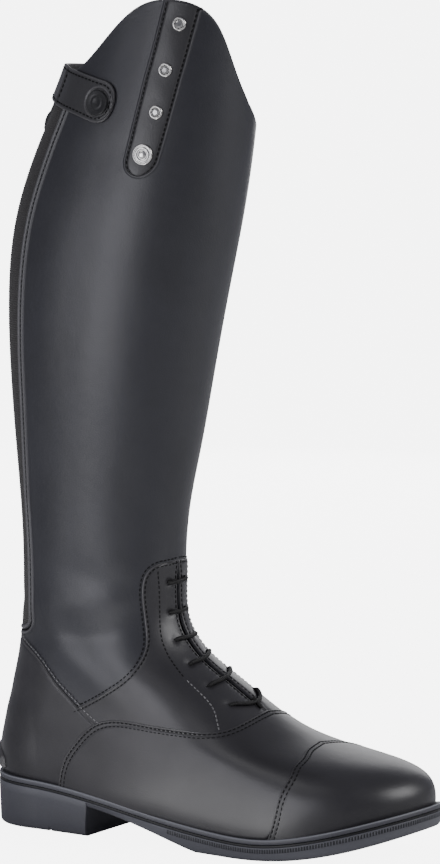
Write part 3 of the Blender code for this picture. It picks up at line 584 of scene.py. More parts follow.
class Shade:
    """An output of a material's nodes; arithmetic on it adds Math nodes."""

    def __init__(self, tree, socket=None):
        self.tree = tree
        self.socket = socket

    def node(self, kind, settings=None, output=0, **inputs):
        """Adds a node, makes its settings, then fills its sockets by name, or by number as n0, n1, ..."""
        made = self.tree.nodes.new("ShaderNode" + kind)
        for key, value in (settings or {}).items():
            setattr(made, key, value)
        for key, value in inputs.items():
            socket = made.inputs[int(key[1:]) if key[1:].isdigit() else key.replace("_", " ")]
            if isinstance(value, Shade):
                self.tree.links.new(value.socket, socket)
            else:
                socket.default_value = value
        return Shade(self.tree, made.outputs[output])

    def math(self, operation, *values):
        inputs = {f"n{k}": value for k, value in enumerate(values)}
        return self.node("Math", {"operation": operation}, **inputs)

    def mixed(self, low, high):
        """Colour between two colours, by this value; each is a shade or its red, green and blue."""
        low, high = (colour if isinstance(colour, Shade) else (*colour, 1) for colour in (low, high))
        return self.node("Mix", {"data_type": "RGBA"}, 2, n0=self, n6=low, n7=high)

    def between(self, low, high):
        """0 below low, 1 above high, smooth between."""
        settings = {"interpolation_type": "SMOOTHSTEP"}
        return self.node("MapRange", settings, Value=self, From_Min=low, From_Max=high)

    def __add__(self, other):
        return self.math("ADD", self, other)

    def __mul__(self, other):
        return self.math("MULTIPLY", self, other)


def new_finish(name, **constants):
    """New material, its shader, and its Object coordinates."""
    made = bpy.data.materials.new(name)
    made.use_nodes = True
    tree = made.node_tree
    shader = tree.nodes["Principled BSDF"]
    for key, value in constants.items():
        shader.inputs[key.replace("_", " ")].default_value = value
    return made, shader, Shade(tree).node("TexCoord", output="Object")


def feed(shader, key, shade):
    """Links a shade to one of the shader's inputs."""
    shade.tree.links.new(shade.socket, shader.inputs[key])


def feed_bump(shader, height, strength, distance):
    """Bump of a height; its distance is in metres."""
    feed(shader, "Normal", height.node("Bump", Strength=strength, Distance=distance, Height=height))


def noise(where, scale, detail=3.0, roughness=0.5):
    """Noise of about 0 to 1 with a scale in bumps per metre."""
    return where.node("TexNoise", Vector=where, Scale=scale, Detail=detail, Roughness=roughness)


def ripple(where, scale, distortion):
    """Slanted wave of 0 to 1, for threads."""
    settings = {"bands_direction": "DIAGONAL"}
    return where.node("TexWave", settings, Vector=where, Scale=scale, Distortion=distortion)


def edge_wear_and_painted_light(where):
    """How pale a place's rim is, from wear and painted highlight, and how dark its channel is from painted
    shade: the edge attribute's values above and below 0.
    """
    edge = where.node("Attribute", {"attribute_name": "edge"}, "Fac")
    return edge.math("MAXIMUM", edge, 0.0), edge.math("MAXIMUM", edge * -1.0, 0.0)


# Pale rim of the leather, partly wear and partly painted highlight, and painted shade in its stitch channels
RUBBED_AND_HIGHLIT_LEATHER = (0.10, 0.096, 0.10)
LEATHER_CHANNEL_SHADE = (0.003, 0.003, 0.0035)
# Pale rubber: painted highlight on the welt's rim and the ribs' tops, also the paler forepart wall; groove
# colour: painted shade under the welt and between the ribs
PALE_RUBBER = (0.19, 0.195, 0.215)
RUBBER_GROOVE_SHADE = (0.006, 0.006, 0.007)


def leather(name, deep, pale, roughness, coat, grain):
    """Smooth leather: pores and folds as bump, cloudy colour and gloss, pale rims that are partly wear and
    partly painted highlight, and painted shade in the stitch channels.
    """
    made, shader, where = new_finish(name, Coat_Weight=coat, Coat_Roughness=0.28)
    cloud = noise(where, 22.0, 4.0)
    fine = noise(where, 900.0, 4.0, 0.6)
    cells = where.node("TexVoronoi", {"feature": "SMOOTH_F1"}, Vector=where, Scale=1300.0, Smoothness=0.6)
    pale_rim_and_highlight, sunk_and_painted_shade = edge_wear_and_painted_light(where)
    colour = (cloud.between(0.3, 0.7) * 0.7 + fine * 0.3).mixed(deep, pale)
    # Rims paled partly by wear and partly as painted highlight; stitch channels darkened with painted shade
    worn_and_highlit = (pale_rim_and_highlight * (cloud.between(0.2, 0.6) * 0.4 + 0.35)).mixed(colour, RUBBED_AND_HIGHLIT_LEATHER)
    feed(shader, "Base Color", (sunk_and_painted_shade * 0.22).mixed(worn_and_highlit, LEATHER_CHANNEL_SHADE))
    feed(shader, "Roughness", cloud * 0.10 + (fine * 0.08 + (sunk_and_painted_shade * 0.12 + (roughness - 0.09))))
    folds = noise(where, 160.0, 2.0) * 0.8 + noise(where, 48.0, 2.0) * 4.0
    feed_bump(shader, cells * -0.5 + fine * 0.5 + folds, grain, 0.00035)
    return made


def lining_finish():
    """Matt lining leather with a short nap."""
    made, shader, where = new_finish("lining")
    nap = noise(where, 700.0, 5.0, 0.65)
    tone = nap * 0.5 + noise(where, 30.0) * 0.5
    feed(shader, "Base Color", tone.mixed((0.012, 0.0113, 0.0113), (0.034, 0.0315, 0.031)))
    feed(shader, "Roughness", nap * 0.15 + 0.7)
    feed_bump(shader, nap, 0.35, 0.0004)
    return made


def rubber_finish():
    """Slate-grey moulded rubber with a fine speckle and a matt skin, a painted highlight on rims and rib
    tops, a paler forepart wall, and painted shade in grooves.
    """
    made, shader, where = new_finish("slate_rubber")
    fine = noise(where, 1400.0, 2.0)
    cloud = noise(where, 40.0, 4.0)
    pale_rim_and_highlight, sunk_and_painted_shade = edge_wear_and_painted_light(where)
    colour = (fine * 0.35 + cloud * 0.65).mixed((0.039, 0.0395, 0.047), (0.069, 0.070, 0.083))
    feed(shader, "Base Color", sunk_and_painted_shade.mixed(pale_rim_and_highlight.mixed(colour, PALE_RUBBER), RUBBER_GROOVE_SHADE))
    feed(shader, "Roughness", cloud * 0.16 + 0.46)
    feed_bump(shader, fine + cloud * 0.6, 0.2, 0.0003)
    return made


def elastic_finish():
    """Elastic web: fine slanted threads over brownish black, dull."""
    made, shader, where = new_finish("black_elastic", Sheen_Weight=0.1, Sheen_Roughness=0.5)
    threads = ripple(where, 420.0, 1.2)
    fuzz = noise(where, 1500.0)
    tone = threads * 0.5 + fuzz * 0.5
    feed(shader, "Base Color", tone.mixed((0.006, 0.0053, 0.0051), (0.027, 0.0235, 0.022)))
    feed(shader, "Roughness", fuzz * 0.15 + 0.74)
    feed_bump(shader, threads + fuzz, 0.3, 0.0003)
    return made


def thread_finish(name, deep, pale, roughness, gloss):
    """Twisted thread: a slanted ripple along the strand."""
    made, shader, where = new_finish(name, Specular_IOR_Level=gloss)
    twist = ripple(where, 900.0, 0.5)
    fuzz = noise(where, 1800.0, 2.0)
    feed(shader, "Base Color", (twist * 0.6 + fuzz * 0.4).mixed(deep, pale))
    feed(shader, "Roughness", fuzz * 0.1 + roughness)
    feed_bump(shader, twist, 0.4, 0.0002)
    return made


def metal_finish(name, deep, pale, roughness, metallic):
    """Metal with faint wear: cloudy colour and gloss."""
    made, shader, where = new_finish(name, Metallic=metallic)
    scratch = noise(where, 1600.0)
    feed(shader, "Base Color", noise(where, 260.0, 4.0).mixed(deep, pale))
    feed(shader, "Roughness", scratch * 0.14 + (roughness - 0.05))
    feed_bump(shader, scratch, 0.08, 0.0001)
    return made


SHAFT_LEATHER = leather("shaft_leather", (0.0150, 0.0152, 0.0190), (0.0230, 0.0234, 0.0290), 0.40, 0.06, 0.20)
FOOT_LEATHER = leather("foot_leather", (0.0152, 0.0145, 0.0165), (0.0230, 0.0218, 0.0248), 0.40, 0.08, 0.18)
TRIM_LEATHER = leather("trim_leather", (0.0195, 0.0190, 0.0205), (0.0300, 0.0292, 0.0314), 0.40, 0.08, 0.24)
LINING = lining_finish()
RUBBER = rubber_finish()
ELASTIC = elastic_finish()
THREAD = thread_finish("thread", (0.0020, 0.0020, 0.0022), (0.0080, 0.0080, 0.0085), 0.60, 0.15)
# Pale copy of the dark thread: its paleness is a painted glint on the rows of the counter, the lower eyestay
# and the zip stop
GLINTING_THREAD = thread_finish("thread_painted_glints", (0.012, 0.012, 0.0125), (0.260, 0.255, 0.262), 0.36, 0.5)
LACE = thread_finish("elastic_cord", (0.0030, 0.0030, 0.0030), (0.0130, 0.0125, 0.0125), 0.55, 0.3)
BLACK_METAL = metal_finish("black_metal", (0.010, 0.010, 0.0105), (0.024, 0.024, 0.026), 0.42, 0.4)
SILVER = metal_finish("silver", (0.44, 0.433, 0.415), (0.72, 0.708, 0.68), 0.22, 1.0)
STONE = metal_finish("cut_stone", (0.16, 0.16, 0.165), (0.58, 0.575, 0.56), 0.12, 0.9)


# Upper

UPPER_FOOT_ROWS = 34
UPPER_SHAFT_ROWS = 104
UPPER_TURNS = 161
FOOT_TOP_ROW = 8.0
NEAR_THROAT = np.array((0.0005, 0.0015, 0.003, 0.006))
NEAR_COLLAR = np.array((2.2, 1.4, 0.8, 0.4, 0.15, 0.04))
SHAFT_RUN = 350
OPEN_GAP = 0.004
WALL_ROUND = 1.0


def make_upper():
    """The whole wall: outside and lining over one grid of places, rims half round at collar and throat."""
    close = 0.5 - NEAR_THROAT
    turns = np.unique(np.concatenate([np.linspace(-0.5, 0.5, UPPER_TURNS), close, -close]))
    foot = np.linspace(FEATHER_ROW, FOOT_TOP_ROW, UPPER_FOOT_ROWS)[:, None] + 0 * turns
    share = np.linspace(0, 1, UPPER_SHAFT_ROWS)[1:, None]
    share = np.concatenate([share[:-1], 1 - NEAR_COLLAR[:, None] / SHAFT_RUN, share[-1:]])
    shaft = FOOT_TOP_ROW + share * (collar_row(turns) - FOOT_TOP_ROW)
    row = np.concatenate([foot, shaft])
    near = np.clip((np.abs(turns) - THROAT_START) / (0.5 - THROAT_START), 0, 1)
    gap = throat_gap(row)
    turn = turns - np.sign(turns) * near * gap
    points = skin(turn, row)
    slit = edge_distance(points, ("low", "high")) + WALL_ROUND * (1 - np.clip(gap / OPEN_GAP, 0, 1))
    distance = np.minimum(slit, edge_distance(points, ("start", "end")))
    half = UPPER_WALL / 2
    arc = rounded(distance, half, radius=WALL_ROUND)
    parts = [net(lifted(turn, row, arc - half)), net(lifted(turn, row, -half - arc), flip=True, finish=1)]
    # Collar rim pale: partly wear, partly painted highlight
    worn_and_highlit = np.exp(-edge_distance(points, ("end",)) / WEAR_AND_HIGHLIGHT_REACH).ravel()
    piece("upper_wall", parts, [SHAFT_LEATHER, LINING], "upper",
          edge=np.concatenate([worn_and_highlit, worn_and_highlit]))


# Panels of the foot

COUNTER_HEIGHT = 0.95
FACING_HEIGHT = 0.85
VAMP_HEIGHT = 1.4
CAP_HEIGHT = 1.95
SECOND_ROW = 4.2
SECOND_ROW_STEPS = (3.4, 4.2, 5.0)
HALF_COUNT = 90
THREAD_SINK = 0.2
WALL_THREAD_LIFT = 0.05
# Holes of the lace's bars on the outer side (turn, row), and each bar's rise to the inner side and sag
LACE_BARS = (
    (0.4655, 11.14, 0.05, 0.02), (0.4655, 10.01, 0.05, 0.02), (0.4570, 8.86, 0.05, 0.02),
    (0.4460, 7.88, 0.30, 0.02), (0.4375, 7.01, 0.40, 0.0), (0.4365, 6.30, 0.28, 0.20),
)
PUCKER_DEPTH = 0.85
PUCKER_WIDTH = 2.6


def joined(paths, count):
    """Several paths end to end, read again at even steps."""
    return resampled(np.concatenate(paths), count)


def feather(first, last, count=30):
    """Path along the upper's lowest row between two turns."""
    return place(np.linspace(first, last, count), FEATHER_ROW)


def pucker(turn, row):
    """Dimples of the facing round the lace's holes: a bell of the distance from each hole."""
    here = skin(turn, row)
    depth = np.zeros(turn.shape)
    for hole_turn, hole_row, rise, _ in LACE_BARS:
        if np.mean(turn) > 0.5:
            hole_turn, hole_row = 1 - hole_turn, hole_row + rise
        away = np.linalg.norm(here - skin(hole_turn, hole_row), axis=-1)
        depth = depth - PUCKER_DEPTH * np.exp(-(away / PUCKER_WIDTH) ** 2)
    return depth


def make_counter():
    """Heel counter over the shaft's foot, its front end running under the vamp."""
    top = mirrored(run(COUNTER_TOP, HALF_COUNT))
    low = mirrored(joined([run(COUNTER_FRONT, 40), feather(COUNTER_FRONT[-1][0], 0.0)], HALF_COUNT))
    panel("heel_counter", patch(low, top, 30, rim_high=RIM_STEPS), COUNTER_HEIGHT, ("high",), "counter")
    stitches("stitches_counter", [(beside(top, -STITCH_INSET), COUNTER_HEIGHT - THREAD_SINK)], GLINTING_THREAD)
    stitches("stitches_counter_wall", [(beside(top, 1.5), WALL_THREAD_LIFT)], THREAD)


def facing_front(count):
    """Path up the throat's edge of the outer facing."""
    row = np.linspace(FACING_LOW_ROW, FACING_TOP_ROW, 200)
    return resampled(place(FACING_FRONT - throat_gap(row), row), count)


def other_side(path):
    """Path mirrored to the inner side."""
    return place(1 - path[:, 0], path[:, 1])


def make_facings():
    """Lace facings on both sides: from the throat's edge to the curved seam, dimpled at the lace's holes."""
    back = run(FACING_BACK, 110)
    front = facing_front(110)
    seam = columns(SEAM_COLUMNS, VAMP_TOP)
    eyestay = run(EYESTAY, 90)
    sewn = joined([back, np.linspace(back[-1], front[-1], 20)[1:-1]], 140)
    for side, mirror, outside in (("lateral", lambda path: path, 1), ("medial", other_side, -1)):
        places = patch(front, back, 46, rim_low=RIM_STEPS, rim_high=RIM_STEPS)
        upward = np.linspace(0, 1, len(places))[:, None]
        first = places[0]
        under_vamp = np.interp(first[:, 0], seam["turn"], seam["row"]) - UNDERLAP_ROWS - first[:, 1]
        places[..., 1] += (1 - upward) ** 3 * under_vamp * smooth(back[0, 0], COUNTER_TOP[0][0], first[:, 0])
        if outside < 0:
            places[..., 0] = 1 - places[..., 0]
        panel(f"lace_facing_{side}", places, FACING_HEIGHT, ("low", "high", "end"), f"facing_{side}",
              extra=pucker(*parted(places)))
        rows = [
            (mirror(beside(sewn, -STITCH_INSET)), FACING_HEIGHT - THREAD_SINK),
            (mirror(beside(sewn, 1.2)), WALL_THREAD_LIFT),
            (mirror(beside(front, STITCH_INSET)[12:]), FACING_HEIGHT - THREAD_SINK),
            (mirror(eyestay[:56]), FACING_HEIGHT),
        ]
        stitches(f"stitches_facing_{side}", rows, THREAD)
        stitches(f"stitches_eyestay_{side}", [(mirror(eyestay[57:]), FACING_HEIGHT)], GLINTING_THREAD)


def twice_sewn(name, low, top, lines, height):
    """Panel of the foot with two rows of stitches along its upper edge."""
    insets = (STITCH_INSET, SECOND_ROW)
    places = patch(low, top, lines, rim_high=np.append(RIM_STEPS, SECOND_ROW_STEPS))
    panel(name + "_leather", places, height, ("high",), name, insets)
    stitches("stitches_" + name, [(beside(top, -inset), height - THREAD_SINK) for inset in insets], THREAD)


def make_vamp():
    """Vamp over counter and facings."""
    top = mirrored(run(VAMP_TOP, HALF_COUNT + 30))
    cap = np.array(CAP_EDGE) - (0, UNDERLAP_ROWS)
    cap[0, 1] = FEATHER_ROW
    low = joined([feather(VAMP_TOP[0][0], CAP_EDGE[0][0]), run(cap, 60)[1:]], HALF_COUNT + 30)
    twice_sewn("vamp", mirrored(low), top, 40, VAMP_HEIGHT)


def make_toe_cap():
    """Toe cap over the vamp."""
    top = mirrored(run(CAP_EDGE, HALF_COUNT))
    low = mirrored(joined([feather(CAP_EDGE[0][0], 0.5, 60)], HALF_COUNT))
    twice_sewn("toe_cap", low, top, 44, CAP_HEIGHT)


make_upper()
make_counter()
make_facings()
make_vamp()
make_toe_cap()


# Sole

RIB_PITCH = 1.7
RIB_DEPTH = 0.65
RIB_TURNS = (0.245, 0.755)
RIB_SINK = 0.06
# Factor and offset of the rib's wave, and of the painted light that follows it: painted highlight on the
# ribs' tops, painted shade between them
RIB_WAVE = (0.75, 0.35)
RIB_PAINTED_LIGHT = (1.2, -0.85)
# Drop below the outsole's upper face, and share of the rib's depth; a negative share is sunk into the wall
RIB_SECTION = ((1.7, -1.6), (1.9, 0.7), (2.2, 1.0), (3.0, 1.0), (3.8, 1.0), (4.2, 0.7), (4.5, -1.6))
TREAD_PITCH = 6.4
TREAD_DEPTH = 0.9
TREAD_STEP = (0.45, 0.8)
TREAD_SLANT = 0.45
TREAD_MIDDLE = 2.0
TREAD_PLAIN_RIM = 7.0
TREAD_ZONES = ((150, 158, 258, 268), (6, 12, 66, 72))
# Inset and drop from the sole's outline and upper face, and painted highlight on the rim's rounded top
WELT_RIM = (
    (15.0, 0.0, 0.0), (8.0, 0.0, 0.0), (3.0, 0.0, 0.0), (1.2, 0.0, 0.0), (0.6, 0.08, 0.9), (0.2, 0.4, 0.9),
    (0.0, 0.9, 0.1), (0.0, 1.5, 0.0), (0.0, 2.2, 0.0), (0.15, 2.68, 0.0), (0.45, 2.92, 0.0), (0.9, 3.0, 0.0),
    (8.0, 3.0, 0.0), (15.0, 3.0, 0.0),
)
# Inset, drop below the outsole's upper face, and edge value: below 0 is painted shade in the groove under the
# welt
WALL_TOP = ((0.9, 0.0, -1.0), (0.9, 0.9, -1.0), (0.6, 1.12, -0.6), (0.15, 1.3, 0.2), (0.0, 1.6, 0.2))
WALL_FOOT = ((0.8, 2.4), (0.95, 1.6), (1.35, 0.8), (2.1, 0.22), (3.1, 0.0))
WALL_STEPS = 5
SOLE_STATIONS = 361
TREAD_STEPS = 26
PALE_FOREPART = 0.25
FOREPART = (80, 120)
INSOLE_INSET = 3.4
INSOLE_THICKNESS = 3.0
INSOLE_ROUND = 1.5
# Middle in x, length and breadth of the seat's bell
HEEL_SEAT = (45, 28, 18)
SEAT_DEPTH = 0.8


def sole_under(x):
    """Height of the sole's underside: heel, breast, shank, tread and toe spring."""
    shank = columns(SHANK_COLUMNS, SHANK)
    spring = TOE_SPRING * np.clip((x - TREAD_END) / (SOLE_LENGTH - TREAD_END), 0, 1) ** 2
    z = np.where(x > shank["x"][-1], spring, np.interp(x, shank["x"], shank["z"]))
    groove = np.interp(x, HEEL_GROOVE, (0, GROOVE_DEPTH, GROOVE_DEPTH, 0))
    return np.where(x <= HEEL_BREAST + BREAST_SLOPE / 2, groove, z)


def outsole_top(x):
    """Height of the outsole's upper face, under the welt."""
    return sole_line(x) - WELT_DROP - WELT_THICKNESS - WELT_GAP


def inset_plan(loop, turn, inset):
    """Plan view of a loop moved inwards by an inset along its normal."""
    x, y, _ = plan(loop, turn)
    x0, y0, _ = plan(loop, turn - SMALL_TURN)
    x1, y1, _ = plan(loop, turn + SMALL_TURN)
    along = unit(np.stack([x1 - x0, y1 - y0], -1))
    return x - inset * along[..., 1], y + inset * along[..., 0]


def ring(loop, turns, inset, height):
    """Points round a loop at an inset, at a height that is a function of x."""
    x, y = inset_plan(loop, turns, inset)
    return np.stack([x, y, height(x)], -1)


def wall_height(x, share):
    """Height on the sole's wall at a share of the way down it."""
    high, low = outsole_top(x) - WALL_TOP[-1][1], sole_under(x) + WALL_FOOT[0][1]
    return high + share * (low - high)


def tread(x, y, rim):
    """Rise of the tread's grooves: chevrons on forefoot and heel, plain along the rim and under the shank."""
    wave = np.cos(2 * math.pi * (x + TREAD_SLANT * np.abs(y - TREAD_MIDDLE)) / TREAD_PITCH)
    zones = sum(smooth(start, full, x) * (1 - smooth(fade, end, x)) for start, full, fade, end in TREAD_ZONES)
    inside = smooth(TREAD_PLAIN_RIM, TREAD_PLAIN_RIM + 1, rim)
    return TREAD_DEPTH * smooth(*TREAD_STEP, wave) * zones * inside


def make_outsole():
    """Outsole: rings across the sole from its upper edge down each wall and across the tread."""
    loop = named(SOLE_LOOP)
    marks = np.concatenate([HEEL_GROOVE, [HEEL_BREAST, HEEL_BREAST + BREAST_SLOPE, SHANK[-1][0], TREAD_END]])
    mark_turns = np.arccos(1 - 2 * marks / SOLE_LENGTH) / (2 * math.pi)
    turns = np.unique(np.concatenate([np.linspace(0, 0.5, SOLE_STATIONS), mark_turns]))
    sides = []
    inmost = WALL_FOOT[0][0]
    shares = np.linspace(0, 1, WALL_STEPS + 1)[1:-1]
    for around in (turns, -turns):
        side = [ring(loop, around, inset, lambda x: outsole_top(x) - drop) for inset, drop, _ in WALL_TOP]
        side += [ring(loop, around, share * inmost, lambda x: wall_height(x, share)) for share in shares]
        side += [ring(loop, around, inset, lambda x: sole_under(x) + rise) for inset, rise in WALL_FOOT]
        sides.append(side)
    first, last = sides[0][-1], sides[1][-1]
    under = []
    for share in np.linspace(0, 1, TREAD_STEPS + 1)[1:-1]:
        point = first + share * (last - first)
        width = np.abs(last[:, 1] - first[:, 1])
        point[:, 2] = sole_under(point[:, 0]) + tread(point[:, 0], point[:, 1], width * min(share, 1 - share))
        under.append(point)
    rings = np.stack(sides[0] + under + sides[1][::-1], 1)
    wall = [row[2] for row in WALL_TOP]
    # Wall paler from the waist forwards, and painted shade in the groove at its top
    edge = PALE_FOREPART * smooth(*FOREPART, rings[..., 0])
    edge[:, :len(wall)] = wall
    edge[:, -len(wall):] = wall[::-1]
    piece("sole_and_heel", [net(rings, wrap_columns=True)], [RUBBER], "outsole", sharp=40,
          edge=edge)


def make_ribs():
    """Fine upright ribs below the groove round the sole's forepart: a wave along it, sunk at its rims."""
    loop = named(SOLE_LOOP)
    dense = np.linspace(*RIB_TURNS, 3000)
    x, y, _ = plan(loop, dense)
    length = cumulative(np.stack([x, y], -1))
    along = np.arange(0, length[-1], RIB_PITCH / 5)
    turns = np.interp(along, length, dense)
    wave = np.clip(np.cos(2 * math.pi * along / RIB_PITCH) * RIB_WAVE[0] + RIB_WAVE[1], 0, 1)
    rings = []
    for drop, share in RIB_SECTION:
        inset = RIB_SINK - RIB_DEPTH * (wave * max(share, 0) + min(share, 0))
        rings.append(ring(loop, turns, inset, lambda x: outsole_top(x) - drop))
    rings = np.stack(rings)
    piece("sole_ribs", [net(rings)], [RUBBER], closed=False, sharp=SOFT_ANGLE,
          edge=np.broadcast_to(RIB_PAINTED_LIGHT[0] * wave + RIB_PAINTED_LIGHT[1], rings.shape[:2]))


def make_welt():
    """Welt: its rounded section carried round the sole's outline."""
    loop = named(SOLE_LOOP)
    turns = np.linspace(-0.5, 0.5, 421)[:-1]
    rings = np.stack([
        ring(loop, turns, inset, lambda x: sole_line(x) - WELT_DROP - drop) for inset, drop, _ in WELT_RIM])
    piece("welt_strip", [net(rings, True, True)], [RUBBER], "welt",
          edge=np.repeat([row[2] for row in WELT_RIM], len(turns)))


def make_insole():
    """Insole: a plate on the welt with a rounded rim and a shallow seat under the heel."""
    floor = named(SECTIONS[0])
    half = np.linspace(0, 0.5, 90)
    x_out, y_out = inset_plan(floor, half, INSOLE_INSET)
    x_in, y_in = inset_plan(floor, -half, INSOLE_INSET)
    share = (1 - np.cos(np.linspace(0, math.pi, 25)))[:, None] / 2
    x = x_out + share * (x_in - x_out)
    y = y_out + share * (y_in - y_out)
    low = np.stack([x, y, sole_line(x) + WELT_DROP], -1)
    seat = np.exp(-((x - HEEL_SEAT[0]) / HEEL_SEAT[1]) ** 2 - (y / HEEL_SEAT[2]) ** 2)
    top = low.copy()
    height = rounded(edge_distance(low), INSOLE_THICKNESS, radius=INSOLE_ROUND) - SEAT_DEPTH * seat
    top[..., 2] += shut(height, 0.0)
    piece("insole_leather", [net(top), net(low, flip=True)], [LINING], "insole")


make_outsole()
make_ribs()
make_welt()
make_insole()


# Throat: tongue and elastic lace

TONGUE_TURN = 0.075
TONGUE_ROWS = (5.7, 12.3)
TONGUE_LIFT = -2.5
TONGUE_WALL = 1.6
LACE_RADIUS = 1.25
LACE_LIFT = 2.1
LACE_DIVE = 4.2
LACE_LEVEL = 0.78
LACE_SIDES = 14
# Turn, row and lift of the knot's short strand at its start, and their change to its end
STRAND_START = (0.496, 6.34, 2.3)
STRAND_CHANGE = (-0.004, -0.30, -0.8)
STRAND_TAPER = 0.35


def make_tongue():
    """Tongue inside the wall behind the throat, with thin rounded rims."""
    turn = np.linspace(0.5 - TONGUE_TURN, 0.5 + TONGUE_TURN, 31)
    places = place(turn, np.linspace(*TONGUE_ROWS, 61)[:, None])
    half = TONGUE_WALL / 2
    middle = TONGUE_LIFT - half
    arc = rounded(edge_distance(skin(*parted(places))), half, radius=half)
    sheet("tongue_leather", places, middle + arc, middle - arc, LINING, "tongue")


def lace_path(turn, row, rise, sag):
    """Middle line of a lace bar: over the throat, rising to the inner side, its ends in the holes."""
    across = np.linspace(-1, 1, 41)
    dive = LACE_DIVE * np.clip((np.abs(across) - LACE_LEVEL) / (1 - LACE_LEVEL), 0, 1) ** 2
    places = 0.5 + across * (0.5 - turn)
    return lifted(places, row + rise * (across + 1) / 2 - sag * (1 - across**2), LACE_LIFT - dive)


def make_laces():
    """Six bars of round elastic cord; the lowest is bent down by the knot's short strand."""
    for number, bar in enumerate(LACE_BARS, 1):
        parts = [tube(lace_path(*bar), LACE_RADIUS, LACE_SIDES)]
        if number == len(LACE_BARS):
            here = np.linspace(0, 1, 14)
            strand = lifted(*(start + change * here for start, change in zip(STRAND_START, STRAND_CHANGE)))
            parts.append(tube(strand, LACE_RADIUS * (1 - STRAND_TAPER * here**4), LACE_SIDES))
        piece(f"lace_bar_{number}", parts, [LACE], f"lace_{number}")


make_tongue()
make_laces()


# Back of the shaft: elastic panel, zip and their leather edges

STRETCH_COLUMNS = ("row", "turn")
STRETCH_EDGE = ((9.6, 0.138), (12.9, 0.130), (14.5, 0.140), (16.6, 0.143), (19.0, 0.147))
STRETCH_INNER_TURN = 0.022
STRETCH_MIDDLE_TURN = 0.08
STRETCH_FOOT_ROW = 8.78
STRETCH_FOOT_ROUND = 0.85
STRETCH_LIFT = 0.45
WEB_PITCH = 1.35
WEB_DEPTH = 0.32
BACK_TOP_Z = 438.0
ZIP_LOW_ROW = 8.95
ZIP_TOP_Z = 437.0
TEETH_PITCH = 1.7
TEETH_LIFT = 1.05
TEETH_SHIFT = 0.75
TEETH_HALF = (1.75, 0.55, 0.85)
TAPE_TURNS = (-0.012, 0.024)
TAPE_LIFT = 0.25
ZIP_STITCH = 1.25
ZIP_EDGES = (("zip_edge_lateral", 0.0165, -1), ("zip_edge_medial", -0.0135, 1))
# Sections of the sewn leather edges: offset and height in mm, and wear with painted light, with ridges and
# channels; a painted highlight on the ridges, painted shade in the channels
EDGE_SECTION = (
    (-1.5, -0.4, 0.0), (-1.4, 0.7, 0.3), (-1.0, 1.15, 0.8), (-0.3, 1.35, 1.0), (0.4, 1.1, 0.8),
    (0.8, 0.6, 0.0), (1.15, 0.25, -1.0), (2.0, 0.2, -1.0), (2.35, 0.5, -0.3), (2.7, 0.95, 0.6),
    (3.2, 1.15, 1.0), (3.7, 0.9, 0.6), (4.1, 0.3, -0.5), (4.6, 0.08, -1.0), (5.4, 0.06, -0.3),
    (6.2, -0.2, 0.0),
)
ZIP_SECTION = (
    (-1.3, -0.4, 0.0), (-1.2, 0.7, 0.3), (-0.8, 1.1, 1.0), (0.0, 1.15, 0.8), (0.6, 0.8, 0.0),
    (0.9, 0.45, -1.0), (1.6, 0.4, -1.0), (1.9, 0.6, 0.0), (2.4, 0.5, 0.3), (3.2, 0.1, 0.0),
    (3.8, -0.3, 0.0),
)
EDGE_STITCH = 1.6
COLLAR_CLEAR = 0.5
END_SINK = -0.4


def band(name, path, section, sign, open_end=False):
    """Leather edge along a path: a section of (offset, height, wear and painted light) rows, sunk into the
    wall at its ends.
    """
    rings = []
    for offset, height, _ in section:
        side = beside(path, sign * offset)
        side[:, 1] = np.minimum(side[:, 1], collar_row(side[:, 0], COLLAR_CLEAR))
        lift = np.full(len(path), height)
        lift[0] = END_SINK
        if not open_end:
            lift[-1] = END_SINK
        rings.append(lifted(*parted(side), lift))
    rings = np.stack(rings)
    piece(name, [net(rings, flip=sign < 0)], [SHAFT_LEATHER], closed=False,
          sharp=SOFT_ANGLE, edge=np.repeat([row[2] for row in section], len(path)))


def stretch_turn(row):
    """Turn of the elastic panel's outer edge at a row: lines of the table, drawn in round its foot."""
    edge = columns(STRETCH_COLUMNS, STRETCH_EDGE)
    line = np.interp(row, edge["row"], edge["turn"])
    foot = np.clip((row - STRETCH_FOOT_ROW) / STRETCH_FOOT_ROUND, 0, 1)
    return STRETCH_INNER_TURN + (line - STRETCH_INNER_TURN) * (1 - (1 - foot) ** 3) ** (1 / 3)


def make_stretch():
    """Elastic web with fine level ribs, and the sewn leather edge along its outer side and foot."""
    top = float(row_at(BACK_TOP_Z))
    dense = np.linspace(STRETCH_FOOT_ROW, top, 900)
    length = cumulative(skin(STRETCH_MIDDLE_TURN, dense))
    along = np.arange(0, length[-1], WEB_PITCH / 4)
    row = np.interp(along, length, dense)[:, None]
    share = np.linspace(0, 1, 15)[None, :]
    turn = STRETCH_INNER_TURN + share * (stretch_turn(row) - STRETCH_INNER_TURN)
    wave = np.cos(2 * math.pi * along / WEB_PITCH)[:, None] * WEB_DEPTH / 2
    web = net(lifted(turn, row, STRETCH_LIFT + wave))
    piece("elastic_web", [web], [ELASTIC], "stretch_panel", closed=False, sharp=SOFT_ANGLE)

    rounding = STRETCH_FOOT_ROW + STRETCH_FOOT_ROUND * np.linspace(0, 1, 60) ** 3
    rows = np.concatenate([rounding, np.linspace(9.7, top, 200)])
    path = resampled(place(stretch_turn(rows), rows), 260)
    band("elastic_edge", path, EDGE_SECTION, -1, open_end=True)
    stitches("stitches_elastic", [(beside(path, -EDGE_STITCH), 0.4)], THREAD)


